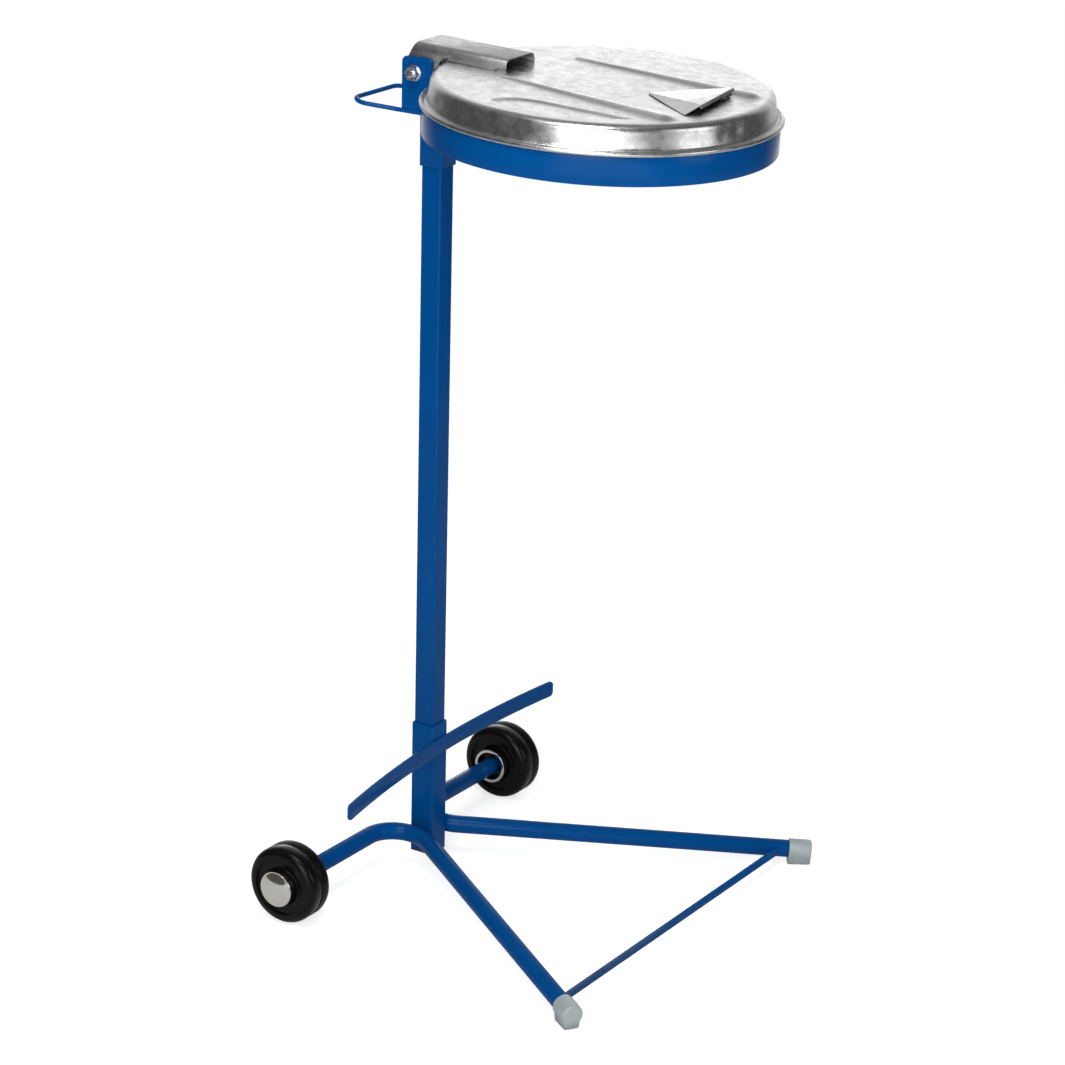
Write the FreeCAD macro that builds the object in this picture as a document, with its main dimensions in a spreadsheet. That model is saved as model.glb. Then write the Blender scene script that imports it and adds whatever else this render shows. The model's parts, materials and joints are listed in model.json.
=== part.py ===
import FreeCAD, Part
import math
import os

import Sketcher

# Wheeled sack holder: a post on a two-legged wheeled foot carries a hoop for the sack's mouth,
# and a pressed steel lid hinged behind the hoop covers it.
# +X points forward over the hoop, +Y to the holder's left, +Z up; the floor is Z = 0.
# The origin lies on the floor at the middle of the holder's length.

# Driving dimensions, in millimetres and degrees
SIZES = {
    # Post
    "column_x": -184.0,
    "column_width": 30.0,
    "column_wall": 1.5,
    "column_corner": 2.5,
    "column_top": 1058.0,
    # Sleeves that hold the post
    "sleeve_wall": 2.0,
    "sleeve_corner": 3.0,
    "sleeve_fit": 0.5,
    "base_sleeve_bottom": 22.0,
    "base_sleeve_length": 185.0,
    "top_sleeve_bottom": 976.0,
    "top_sleeve_length": 90.0,
    # Plug in the lower end of the base sleeve
    "plug_flange": 3.2,
    "plug_insert": 14.0,
    "plug_fit": 0.1,
    # Screws that lock the post in its sleeves
    "screw_radius": 2.4,
    "screw_head_radius": 4.6,
    "screw_head_height": 2.6,
    "screw_reach": 9.0,
    "base_screw_height": 120.0,
    "top_screw_height": 44.0,
    # Wheels
    "wheel_radius": 52.5,
    "wheel_width": 45.0,
    "wheel_middle": 253.6,
    "crown_radius": 29.5,
    "tread_groove_width": 2.4,
    "tread_groove_depth": 0.9,
    "side_lip": 2.5,
    "side_recess": 3.5,
    "hub_radius": 26.5,
    "hub_end_radius": 23.4,
    "hub_half_length": 33.5,
    "hub_step": 3.4,
    "hub_recess_radius": 19.6,
    "hub_recess_depth": 9.5,
    # Chrome caps of the hubs
    "cap_sheet": 0.9,
    "cap_dome": 2.4,
    "cap_fit": 0.05,
    # Axles
    "axle_x": -45.6,
    "journal_radius": 8.0,
    "journal_fit": 0.08,
    "axle_insert": 70.0,
    "axle_fit": 0.05,
    "hub_play": 0.4,
    "clip_radius": 13.0,
    "clip_sheet": 1.2,
    "axle_tail": 2.5,
    # Bent tubes of the base
    "tube_radius": 12.0,
    "tube_wall": 2.0,
    "tube_bend_radius": 45.0,
    "leg_angle": 33.4,
    "leg_length": 484.0,
    "leg_slope": 4.15,
    # Plastic foot caps
    "foot_length": 31.0,
    "foot_wall": 2.3,
    "foot_end_wall": 3.0,
    "foot_sole_width": 17.0,
    "foot_round": 3.5,
    "foot_fit": 0.05,
    # Brace between the legs
    "brace_radius": 5.0,
    "brace_setback": 41.0,
    # Bar that keeps the sack off the wheels
    "guard_height": 25.0,
    "guard_sheet": 4.0,
    "guard_radius": 1400.0,
    "guard_span": 520.0,
    "guard_bottom": 159.0,
    "guard_corner": 6.0,
    # Bracket of the hinge
    "bracket_bottom": 1052.0,
    "bracket_sheet": 3.0,
    "bracket_gap": 67.0,
    "bracket_bend": 4.0,
    "bracket_web_height": 32.0,
    "ear_height": 68.0,
    "ear_rear": 32.0,
    "ear_front": 13.5,
    "ear_round": 8.0,
    # Hinge bolt
    "hinge_x": -12.6,
    "hinge_z": 1099.8,
    "bolt_radius": 5.0,
    "bolt_fit": 0.1,
    "bolt_head_radius": 8.6,
    "bolt_head_height": 6.4,
    "bolt_tail": 2.5,
    "nut_radius": 9.6,
    "nut_height": 8.0,
    "washer_radius": 10.5,
    "washer_sheet": 1.6,
    # Hoop for the sack's mouth; it droops a little from the hinge
    "droop": 2.0,
    "hoop_radius": 222.0,
    "hoop_sheet": 3.0,
    "hoop_height": 35.7,
    "hoop_bottom": 46.8,
    # Lid
    "lid_sheet": 1.5,
    "lid_rest": 0.3,
    "lid_rim_radius": 4.0,
    "lid_overhang": 3.0,
    "lid_height": 36.4,
    "lid_corner": 15.0,
    # Tapered ribs pressed up in the lid
    "rib_rear_x": 117.0,
    "rib_front_x": -162.0,
    "rib_rear_y": 66.0,
    "rib_front_y": 88.0,
    "rib_rear_radius": 4.0,
    "rib_front_radius": 9.0,
    "rib_height": 4.0,
    # Long panels pressed down in the lid
    "panel_x": 42.0,
    "panel_y": 145.0,
    "panel_length": 165.0,
    "panel_width": 46.0,
    "panel_depth": 2.0,
    # Arm that carries the lid
    "arm_sheet": 2.0,
    "arm_side_gap": 0.5,
    "arm_bend": 6.0,
    "arm_top": 38.5,
    "arm_front": 136.0,
    "arm_eye": 13.0,
    "arm_throat_x": 30.0,
    "arm_throat_z": 11.0,
    "arm_throat_run": 9.0,
    "foot_flange_rear": 54.0,
    "foot_flange_front": 125.0,
    "foot_flange_width": 13.0,
    # Sheet metal grip on the lid
    "grip_sheet": 1.5,
    "grip_apex": 328.6,
    "grip_front": 437.6,
    "grip_height": 14.0,
    "grip_flat": 48.0,
    "grip_half_width": 85.0,
    "grip_corner_setback": 13.0,
    "grip_hem": 4.5,
    "grip_tip": 0.06,
    # Carrying handle behind the post
    "handle_radius": 3.0,
    "handle_front": 10.0,
    "handle_clear": 8.0,
    "handle_rear": 98.0,
    "handle_half_width": 58.0,
    "handle_rear_half_width": 44.0,
    "handle_rise": 9.0,
    "handle_splay_end": 84.0,
    "handle_bend": 20.0,
}

doc = FreeCAD.newDocument("wheeled_sack_holder")
sheet = doc.addObject("Spreadsheet::Sheet", "Sizes")


class Size:
    """A number that also carries the spreadsheet formula it comes from."""

    def __init__(self, number, formula):
        self.number = float(number)
        self.formula = formula

    def __add__(self, other):
        other = sized(other)
        return Size(self.number + other.number, f"({self.formula} + {other.formula})")

    def __sub__(self, other):
        other = sized(other)
        return Size(self.number - other.number, f"({self.formula} - {other.formula})")

    def __mul__(self, other):
        other = sized(other)
        return Size(self.number * other.number, f"({self.formula} * {other.formula})")

    def __truediv__(self, other):
        other = sized(other)
        return Size(self.number / other.number, f"({self.formula} / {other.formula})")

    def __radd__(self, other):
        return sized(other) + self

    def __rsub__(self, other):
        return sized(other) - self

    def __rmul__(self, other):
        return sized(other) * self

    def __neg__(self):
        return Size(-self.number, f"(-1 * {self.formula})")


def sized(value):
    if isinstance(value, Size):
        return value
    return Size(value, f"({float(value)!r})")


def root(value):
    return Size(math.sqrt(value.number), f"sqrt({value.formula})")


def sine(angle):
    return Size(math.sin(math.radians(angle.number)), f"sin({angle.formula})")


def cosine(angle):
    return Size(math.cos(math.radians(angle.number)), f"cos({angle.formula})")


def tangent(angle):
    return Size(math.tan(math.radians(angle.number)), f"tan({angle.formula})")


def arcsine(value):
    return Size(math.degrees(math.asin(value.number)), f"asin({value.formula})")


def read_sizes():
    """Put the driving dimensions in the sheet and give them back as sizes."""
    for row, (alias, value) in enumerate(SIZES.items(), start=1):
        sheet.set(f"A{row}", alias)
        sheet.set(f"B{row}", str(value))
        sheet.setAlias(f"B{row}", alias)
    doc.recompute()
    return {alias: Size(sheet.get(alias), f"Sizes.{alias}") for alias in SIZES}


D = read_sizes()

# Sizes that follow from the driving ones
ZERO = Size(0, "(0)")
column_half = D["column_width"] / 2
sleeve_half = column_half + D["sleeve_fit"] + D["sleeve_wall"]
column_bottom = D["base_sleeve_bottom"] + D["plug_insert"]
shoulder_drop = D["crown_radius"] - root(
    D["crown_radius"] * D["crown_radius"] - D["wheel_width"] * D["wheel_width"] / 4
)
shoulder_radius = D["wheel_radius"] - shoulder_drop
recess_floor = D["hub_half_length"] - D["hub_recess_depth"]
tube_end = D["wheel_middle"] - recess_floor - D["hub_play"]
bend_y = sleeve_half + D["tube_radius"] + D["tube_bend_radius"]
axle_run = tube_end - bend_y
ear_inner = D["bracket_gap"] / 2
ear_outer = ear_inner + D["bracket_sheet"]
hoop_top = D["hoop_height"] - D["hoop_bottom"]
hoop_gap = D["hoop_bottom"] * sine(D["droop"])
hoop_centre = D["hoop_radius"] + (sleeve_half + D["bracket_sheet"] - D["hinge_x"] + hoop_gap) / cosine(D["droop"])
rim_centre_z = hoop_top + D["lid_rest"] + D["lid_rim_radius"]
lid_radius = D["hoop_radius"] + D["lid_overhang"]
lid_top = hoop_top + D["lid_rest"] + D["lid_height"]
arm_half = ear_inner - D["arm_side_gap"]


# Document helpers
def bind(item, name, value):
    """Tie one property of a document object to a size."""
    value = sized(value)
    item.setExpression(name, value.formula)


def place(item, x=0, y=0, z=0, turn=None):
    """Put an item at x, y, z, with turn as (axis, angle)."""
    x = sized(x)
    y = sized(y)
    z = sized(z)
    spin = FreeCAD.Rotation()
    if turn is not None:
        spin = FreeCAD.Rotation(FreeCAD.Vector(*turn[0]), sized(turn[1]).number)
    item.Placement = FreeCAD.Placement(FreeCAD.Vector(x.number, y.number, z.number), spin)
    bind(item, "Placement.Base.x", x)
    bind(item, "Placement.Base.y", y)
    bind(item, "Placement.Base.z", z)
    if turn is not None:
        bind(item, "Placement.Rotation.Angle", turn[1])


def new_body(name):
    body = doc.addObject("PartDesign::Body", name)
    body.Label = name
    return body


def new_sketch(body, name, role="XY_Plane", offset=None):
    """A sketch on one of the body's own origin planes, moved off it by offset."""
    sketch = body.newObject("Sketcher::SketchObject", f"{body.Name}_{name}")
    plane = next(item for item in body.Origin.OriginFeatures if item.Role == role)
    sketch.AttachmentSupport = [(plane, "")]
    sketch.MapMode = "FlatFace"
    if offset is not None:
        bind(sketch, "AttachmentOffset.Base.z", offset)
    return sketch


def hold_point(sketch, geometry, end, x, y):
    """Fix one end of a sketch line by two dimensions that follow the sheet."""
    for kind, value in (("DistanceX", x), ("DistanceY", y)):
        value = sized(value)
        index = sketch.addConstraint(Sketcher.Constraint(kind, geometry, end, value.number))
        sketch.setExpression(f"Constraints[{index}]", value.formula)


def draw_outline(sketch, corners):
    """Draw a closed outline. A corner is (x, y) or (x, y, radius): the radius bends the side
    that leaves the corner, to the left where it is positive and to the right where negative."""
    spots = [FreeCAD.Vector(sized(c[0]).number, sized(c[1]).number, 0) for c in corners]
    first = sketch.GeometryCount
    ends = []
    for index, corner in enumerate(corners):
        start = spots[index]
        stop = spots[(index + 1) % len(spots)]
        if len(corner) == 2:
            sketch.addGeometry(Part.LineSegment(start, stop), False)
            ends.append((1, 2))
            continue
        radius = sized(corner[2])
        half = (stop - start) / 2
        left = FreeCAD.Vector(-half.y, half.x, 0).normalize()
        side = 1 if radius.number > 0 else -1
        reach = math.sqrt(radius.number**2 - half.Length**2)
        middle = start + half + left * side * (reach - abs(radius.number))
        arc = Part.Arc(start, middle, stop)
        sketch.addGeometry(arc, False)
        ends.append((1, 2) if side > 0 else (2, 1))
    for index, corner in enumerate(corners):
        before = (index - 1) % len(corners)
        sketch.addConstraint(
            Sketcher.Constraint("Coincident", first + before, ends[before][1], first + index, ends[index][0])
        )
    for index, corner in enumerate(corners):
        hold_point(sketch, first + index, ends[index][0], corner[0], corner[1])
        if len(corner) == 3:
            radius = sized(corner[2])
            radius = radius if radius.number > 0 else -radius
            mark = sketch.addConstraint(Sketcher.Constraint("Radius", first + index, radius.number))
            sketch.setExpression(f"Constraints[{mark}]", radius.formula)


def draw_circle(sketch, radius, x=None, y=None):
    """Draw a circle at the sketch's origin, or at x, y."""
    spot = FreeCAD.Vector(sized(x or 0).number, sized(y or 0).number, 0)
    radius = sized(radius)
    index = sketch.addGeometry(Part.Circle(spot, FreeCAD.Vector(0, 0, 1), radius.number), False)
    if x is None:
        sketch.addConstraint(Sketcher.Constraint("Coincident", index, 3, -1, 1))
    else:
        hold_point(sketch, index, 3, x, y)
    mark = sketch.addConstraint(Sketcher.Constraint("Radius", index, radius.number))
    sketch.setExpression(f"Constraints[{mark}]", radius.formula)


def draw_rectangle(sketch, left, bottom, right, top):
    draw_outline(sketch, [(left, bottom), (right, bottom), (right, top), (left, top)])


def draw_square(sketch, half, corner):
    """Draw a square round the sketch's origin, with rounded corners."""
    flat = half - corner
    draw_outline(
        sketch,
        [
            (-flat, -half),
            (flat, -half, corner),
            (half, -flat),
            (half, flat, corner),
            (flat, half),
            (-flat, half, corner),
            (-half, flat),
            (-half, -flat, corner),
        ],
    )


def pad(body, sketch, length, side="One side", reverse=False):
    feature = body.newObject("PartDesign::Pad", f"{sketch.Name}_pad")
    feature.Profile = sketch
    feature.SideType = side
    feature.Reversed = reverse
    bind(feature, "Length", length)
    return feature


def pocket(body, sketch, length, side="One side", reverse=False):
    feature = body.newObject("PartDesign::Pocket", f"{sketch.Name}_pocket")
    feature.Profile = sketch
    feature.SideType = side
    feature.Reversed = reverse
    bind(feature, "Length", length)
    return feature


def revolve(body, sketch, axis="V_Axis", angle=360, kind="PartDesign::Revolution"):
    feature = body.newObject(kind, f"{sketch.Name}_turned")
    feature.Profile = sketch
    feature.ReferenceAxis = (sketch, [axis])
    feature.Midplane = True
    bind(feature, "Angle", angle)
    return feature


def round_edges(body, radius, wanted, kind="PartDesign::Fillet", name="round"):
    """Round, or chamfer, the edges of the body's last feature that wanted() picks."""
    doc.recompute()
    base = body.Tip
    names = [f"Edge{i}" for i, edge in enumerate(base.Shape.Edges, start=1) if wanted(edge)]
    feature = body.newObject(kind, f"{body.Name}_{name}")
    feature.Base = (base, names)
    bind(feature, "Size" if kind.endswith("Chamfer") else "Radius", radius)
    return feature


def runs_along(edge, axis):
    """Whether a straight edge runs along an axis given as 0, 1 or 2."""
    if edge.Curve.TypeId != "Part::GeomLine":
        return False
    return abs(abs(edge.tangentAt(edge.FirstParameter)[axis]) - 1) < 1e-6


# Post, sleeves and their plug
def make_square_tube(name, half, wall, corner, length, bottom, screw_height):
    """An upright square tube with one screw hole in its rear wall."""
    body = new_body(name)
    section = new_sketch(body, "section")
    draw_square(section, half, corner)
    draw_square(section, half - wall, corner - wall)
    pad(body, section, length)
    hole = new_sketch(body, "hole", "YZ_Plane")
    draw_circle(hole, D["screw_radius"], ZERO, screw_height)
    pocket(body, hole, half * 2)
    place(body, D["column_x"], 0, bottom)
    return body


def make_sleeve_plug():
    body = new_body("sleeve_plug")
    flange = new_sketch(body, "flange")
    draw_square(flange, sleeve_half, D["sleeve_corner"])
    pad(body, flange, D["plug_flange"])
    insert = new_sketch(body, "insert", offset=D["plug_flange"])
    insert_half = sleeve_half - D["sleeve_wall"] - D["plug_fit"]
    draw_square(insert, insert_half, D["sleeve_corner"] - D["sleeve_wall"])
    pad(body, insert, D["plug_insert"])
    round_edges(body, 1, lambda edge: edge.BoundBox.ZMax < 0.01)
    place(body, D["column_x"], 0, D["base_sleeve_bottom"] - D["plug_flange"])
    return body


def make_column_screws():
    """Two pan-head screws, one in the rear of each sleeve."""
    screws = []
    heights = (
        D["base_sleeve_bottom"] + D["base_screw_height"],
        D["top_sleeve_bottom"] + D["top_screw_height"],
    )
    for number, height in enumerate(heights, start=1):
        body = new_body(f"column_screw_{number}")
        profile = new_sketch(body, "profile", "XZ_Plane")
        head = D["screw_head_radius"]
        draw_outline(
            profile,
            [
                (0, 0),
                (0, D["screw_radius"]),
                (-D["screw_reach"], D["screw_radius"]),
                (-D["screw_reach"], 0),
            ],
        )
        revolve(body, profile, "H_Axis")
        cap = new_sketch(body, "head", "XZ_Plane")
        draw_outline(cap, [(0, 0), (D["screw_head_height"], 0), (D["screw_head_height"] * 0.6, head), (0, head)])
        revolve(body, cap, "H_Axis")
        place(body, D["column_x"] - sleeve_half, 0, height, ((0, 0, 1), 180))
        screws.append(body)
    return join("column_screws", screws)


def join(name, items):
    """Keep like pieces, or the pieces of one solid, as one node."""
    fused = doc.addObject("Part::MultiFuse", name)
    fused.Shapes = items
    fused.Label = name
    return fused


# Base tubes, feet and brace
def leg_frame(side, along):
    """The placement of a leg's axis, with X along the leg, at a distance from the bend."""
    lean = FreeCAD.Rotation(FreeCAD.Vector(0, 1, 0), D["leg_slope"].number)
    yaw = FreeCAD.Rotation(FreeCAD.Vector(0, 0, 1), side * D["leg_angle"].number)
    bend = D["tube_bend_radius"].number
    angle = math.radians(D["leg_angle"].number)
    flat = FreeCAD.Vector(
        bend * (1 + math.sin(angle)) + along * math.cos(angle),
        side * (bend_y.number - bend * math.cos(angle) + along * math.sin(angle)),
        0,
    )
    start = FreeCAD.Vector((D["column_x"] + D["axle_x"]).number, 0, D["wheel_radius"].number)
    return FreeCAD.Placement(start + lean.multVec(flat), lean.multiply(yaw))


def make_base_tube(name, side):
    """Axle end, bend at the sleeve and long leg, bent from one tube. The tube starts at its
    axle end and runs towards the post."""
    body = new_body(name)
    bend = D["tube_bend_radius"]
    turn_x = bend * (sine(D["leg_angle"]) + 1)
    turn_y = axle_run + bend * cosine(D["leg_angle"])
    foot_x = turn_x + D["leg_length"] * cosine(D["leg_angle"])
    foot_y = turn_y - D["leg_length"] * sine(D["leg_angle"])
    path = new_sketch(body, "path")
    corners = [(ZERO, ZERO), (ZERO, -side * axle_run), (turn_x, -side * turn_y), (foot_x, -side * foot_y)]
    spots = [FreeCAD.Vector(x.number, y.number, 0) for x, y in corners]
    reach = bend.number * math.sqrt(0.5)
    crest = FreeCAD.Vector(bend.number - reach, -side * (axle_run.number + reach), 0)
    path.addGeometry(Part.LineSegment(spots[0], spots[1]), False)
    path.addGeometry(Part.Arc(spots[1], crest, spots[2]), False)
    path.addGeometry(Part.LineSegment(spots[2], spots[3]), False)
    arc_start = 2 if side < 0 else 1
    path.addConstraint(Sketcher.Constraint("Coincident", 0, 2, 1, arc_start))
    path.addConstraint(Sketcher.Constraint("Coincident", 1, 3 - arc_start, 2, 1))
    hold_point(path, 0, 1, *corners[0])
    hold_point(path, 0, 2, *corners[1])
    hold_point(path, 2, 1, *corners[2])
    hold_point(path, 2, 2, *corners[3])
    mark = path.addConstraint(Sketcher.Constraint("Radius", 1, bend.number))
    path.setExpression(f"Constraints[{mark}]", bend.formula)
    section = new_sketch(body, "section", "XZ_Plane")
    draw_circle(section, D["tube_radius"])
    draw_circle(section, D["tube_radius"] - D["tube_wall"])
    doc.recompute()
    pipe = body.newObject("PartDesign::AdditivePipe", f"{name}_pipe")
    pipe.Profile = section
    pipe.Spine = (path, ["Edge1", "Edge2", "Edge3"])
    axle_place = (D["column_x"] + D["axle_x"], side * tube_end, D["wheel_radius"])
    place(body, *axle_place, turn=((0, 1, 0), D["leg_slope"]))
    return body


def make_foot_cap(name, side):
    """A plastic shoe over the end of a leg, with a flat sole on the floor. Its X runs along
    the leg and its origin lies on the leg's axis at the shoe's outer end."""
    body = new_body(name)
    outer = D["tube_radius"] + D["foot_wall"]
    tip = leg_frame(side, D["leg_length"].number + D["foot_end_wall"].number)
    dip = math.degrees(math.asin(-tip.Rotation.multVec(FreeCAD.Vector(1, 0, 0)).z))
    section = new_sketch(body, "section", "YZ_Plane")
    sole = D["foot_sole_width"] / 2
    waist = outer * 0.8
    low = -outer * 0.6
    bottom = ZERO - 30
    draw_outline(section, [(sole, bottom), (waist, low, outer), (ZERO, outer, outer), (-waist, low), (-sole, bottom)])
    pad(body, section, D["foot_length"], reverse=True)
    round_edges(body, D["foot_round"], lambda edge: edge.BoundBox.XMin > -0.01)
    bore = new_sketch(body, "bore", "YZ_Plane", offset=-D["foot_end_wall"])
    draw_circle(bore, D["tube_radius"] + D["foot_fit"])
    pocket(body, bore, D["foot_length"])
    body.Placement = tip
    return body, tip, dip


def make_feet():
    """Both shoes, cut level with the floor."""
    feet = []
    for name, side in (("foot_cap_left", 1), ("foot_cap_right", -1)):
        raw, tip, dip = make_foot_cap(f"{name}_raw", side)
        floor = doc.addObject("Part::Box", f"{name}_floor")
        bind(floor, "Length", D["foot_length"] * 4)
        bind(floor, "Width", D["foot_length"] * 4)
        bind(floor, "Height", D["foot_length"] * 2)
        corner = D["foot_length"].number * 2
        floor.Placement = FreeCAD.Placement(
            FreeCAD.Vector(tip.Base.x - corner, tip.Base.y - corner, -corner), FreeCAD.Rotation()
        )
        cut = doc.addObject("Part::Cut", name)
        cut.Base = raw
        cut.Tool = floor
        cut.Label = name
        feet.append(cut)
    return feet


def make_cross_brace():
    """A rod between the legs, its ends fitted to their round sides."""
    along = D["leg_length"].number + D["foot_end_wall"].number - D["brace_setback"].number
    rod = doc.addObject("Part::Cylinder", "brace_rod")
    left = leg_frame(1, along).Base
    right = leg_frame(-1, along).Base
    bind(rod, "Radius", D["brace_radius"])
    rod.Height = left.y - right.y
    rod.Placement = FreeCAD.Placement(left, FreeCAD.Rotation(FreeCAD.Vector(1, 0, 0), 90))
    cutters = []
    for side in (1, -1):
        leg = doc.addObject("Part::Cylinder", f"brace_cutter_{side + 1}")
        bind(leg, "Radius", D["tube_radius"])
        bind(leg, "Height", D["leg_length"])
        start = leg_frame(side, 0)
        leg.Placement = start.multiply(
            FreeCAD.Placement(FreeCAD.Vector(), FreeCAD.Rotation(FreeCAD.Vector(0, 1, 0), 90))
        )
        cutters.append(leg)
    legs = join("brace_cutters", cutters)
    brace = doc.addObject("Part::Cut", "cross_brace")
    brace.Base = rod
    brace.Tool = legs
    brace.Label = "cross_brace"
    return brace


def make_sack_guard():
    """A flat bar curved round the sack, welded to the front of the base sleeve."""
    body = new_body("sack_guard")
    section = new_sketch(body, "section", "XZ_Plane")
    inner = D["guard_radius"] - D["guard_sheet"]
    draw_rectangle(section, -D["guard_radius"], 0, -inner, D["guard_height"])
    half_angle = arcsine(D["guard_span"] / 2 / D["guard_radius"])
    revolve(body, section, "V_Axis", half_angle * 2)
    thickness = D["guard_sheet"].number
    round_edges(
        body,
        D["guard_corner"],
        lambda edge: abs(edge.Length - thickness) < 0.01 and edge.Curve.TypeId == "Part::GeomLine",
    )
    place(body, D["column_x"] + sleeve_half + D["guard_radius"], 0, D["guard_bottom"])
    return body


# Wheels; each profile is drawn with X out along the axle and turned about it
def on_axle(body, side):
    """Put a turned piece on its axle with its X pointing outward."""
    place(body, D["column_x"] + D["axle_x"], side * D["wheel_middle"], D["wheel_radius"], ((0, 0, 1), side * 90))


def make_wheel(name, side):
    body = new_body(name)
    half = D["wheel_width"] / 2
    lip = shoulder_radius - D["side_lip"]
    face = half - D["side_recess"]
    hub_end = D["hub_half_length"]
    step = hub_end - D["hub_step"]
    bore = D["journal_radius"] + D["journal_fit"]
    profile = new_sketch(body, "profile", "XZ_Plane")
    draw_outline(
        profile,
        [
            (-recess_floor, bore),
            (recess_floor, bore),
            (recess_floor, D["hub_recess_radius"]),
            (hub_end, D["hub_recess_radius"]),
            (hub_end, D["hub_end_radius"]),
            (step, D["hub_end_radius"]),
            (face, D["hub_radius"]),
            (face, lip),
            (half, lip),
            (half, shoulder_radius, D["crown_radius"]),
            (-half, shoulder_radius),
            (-half, lip),
            (-face, lip),
            (-face, D["hub_radius"]),
            (-step, D["hub_end_radius"]),
            (-hub_end, D["hub_end_radius"]),
            (-hub_end, D["hub_recess_radius"]),
            (-recess_floor, D["hub_recess_radius"]),
        ],
    )
    revolve(body, profile, "H_Axis")
    groove = new_sketch(body, "groove", "XZ_Plane")
    draw_rectangle(
        groove,
        -D["tread_groove_width"] / 2,
        D["wheel_radius"] - D["tread_groove_depth"],
        D["tread_groove_width"] / 2,
        D["wheel_radius"] + D["tread_groove_depth"],
    )
    revolve(body, groove, "H_Axis", kind="PartDesign::Groove")
    on_axle(body, side)
    return body


def dome_radius(rim, height):
    """The radius of a ball whose cap has this rim radius and height."""
    return (rim * rim + height * height) / (height * 2)


def make_hub_cap(name, side):
    """A pressed chrome disc over the outer end of the hub."""
    body = new_body(name)
    inner = D["hub_end_radius"] + D["cap_fit"]
    outer = inner + D["cap_sheet"]
    seat = D["hub_half_length"]
    skirt = seat - D["hub_step"] + D["cap_sheet"] / 2
    face = seat + D["cap_sheet"]
    profile = new_sketch(body, "profile", "XZ_Plane")
    draw_outline(
        profile,
        [
            (seat + D["cap_dome"], ZERO),
            (face + D["cap_dome"], ZERO, dome_radius(outer, D["cap_dome"])),
            (face, outer),
            (skirt, outer),
            (skirt, inner),
            (seat, inner, -dome_radius(inner, D["cap_dome"])),
        ],
    )
    revolve(body, profile, "H_Axis")
    on_axle(body, side)
    return body


def make_hub_ring(name, side):
    """A pressed chrome ring over the inner end of the hub, round the axle tube."""
    body = new_body(name)
    inner = D["hub_end_radius"] + D["cap_fit"]
    outer = inner + D["cap_sheet"]
    seat = -D["hub_half_length"]
    skirt = seat + D["hub_step"] - D["cap_sheet"] / 2
    face = seat - D["cap_sheet"]
    profile = new_sketch(body, "profile", "XZ_Plane")
    round_off = D["cap_sheet"]
    draw_outline(
        profile,
        [
            (seat, D["hub_recess_radius"]),
            (seat, inner),
            (skirt, inner),
            (skirt, outer),
            (face + round_off, outer, round_off),
            (face, outer - round_off),
            (face, D["hub_recess_radius"]),
        ],
    )
    revolve(body, profile, "H_Axis")
    on_axle(body, side)
    return body


def make_axle(name, side):
    """A stub axle, fast in the tube, with a journal for the wheel."""
    body = new_body(name)
    shank = D["tube_radius"] - D["tube_wall"] - D["axle_fit"]
    shoulder = -recess_floor - D["hub_play"]
    tail = recess_floor + D["hub_play"] + D["clip_sheet"] + D["axle_tail"]
    profile = new_sketch(body, "profile", "XZ_Plane")
    draw_outline(
        profile,
        [
            (shoulder - D["axle_insert"], ZERO),
            (tail, ZERO),
            (tail, D["journal_radius"]),
            (shoulder, D["journal_radius"]),
            (shoulder, shank),
            (shoulder - D["axle_insert"], shank),
        ],
    )
    revolve(body, profile, "H_Axis")
    on_axle(body, side)
    return body


def make_axle_clips():
    """Push-on discs that keep the wheels on their journals, under the hub caps."""
    clips = []
    for number, side in enumerate((1, -1), start=1):
        body = new_body(f"axle_clip_{number}")
        start = recess_floor + D["hub_play"]
        stop = start + D["clip_sheet"]
        profile = new_sketch(body, "profile", "XZ_Plane")
        draw_outline(
            profile,
            [
                (start, D["journal_radius"]),
                (stop, D["journal_radius"]),
                (stop, D["clip_radius"]),
                (start, D["clip_radius"]),
            ],
        )
        revolve(body, profile, "H_Axis")
        on_axle(body, side)
        clips.append(body)
    return join("axle_clips", clips)


# Hinge bracket, bolt, hoop and carrying handle
def make_hinge_bracket():
    """A folded U: its web lies across the front of the top sleeve and its ears run back."""
    body = new_body("hinge_bracket")
    web_rear = sleeve_half
    web_front = web_rear + D["bracket_sheet"]
    bend = D["bracket_bend"]
    inner_bend = bend - D["bracket_sheet"]
    section = new_sketch(body, "section")
    draw_outline(
        section,
        [
            (-D["ear_rear"], -ear_outer),
            (web_front - bend, -ear_outer, bend),
            (web_front, bend - ear_outer),
            (web_front, ear_outer - bend, bend),
            (web_front - bend, ear_outer),
            (-D["ear_rear"], ear_outer),
            (-D["ear_rear"], ear_inner),
            (web_rear - inner_bend, ear_inner, -inner_bend),
            (web_rear, ear_inner - inner_bend),
            (web_rear, inner_bend - ear_inner, -inner_bend),
            (web_rear - inner_bend, -ear_inner),
            (-D["ear_rear"], -ear_inner),
        ],
    )
    pad(body, section, D["ear_height"])
    relief = new_sketch(body, "relief", "XZ_Plane")
    draw_rectangle(relief, D["ear_front"], D["bracket_web_height"], web_front + bend, D["ear_height"] + bend)
    pocket(body, relief, ear_outer * 4, "Symmetric")
    eye = new_sketch(body, "eye", "XZ_Plane")
    draw_circle(eye, D["bolt_radius"] + D["bolt_fit"], D["hinge_x"], D["hinge_z"] - D["bracket_bottom"])
    pocket(body, eye, ear_outer * 4, "Symmetric")
    top = D["ear_height"].number
    round_edges(
        body,
        D["ear_round"],
        lambda edge: runs_along(edge, 1) and edge.BoundBox.ZMin > top - 0.01,
    )
    place(body, D["column_x"], 0, D["bracket_bottom"])
    return body


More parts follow.
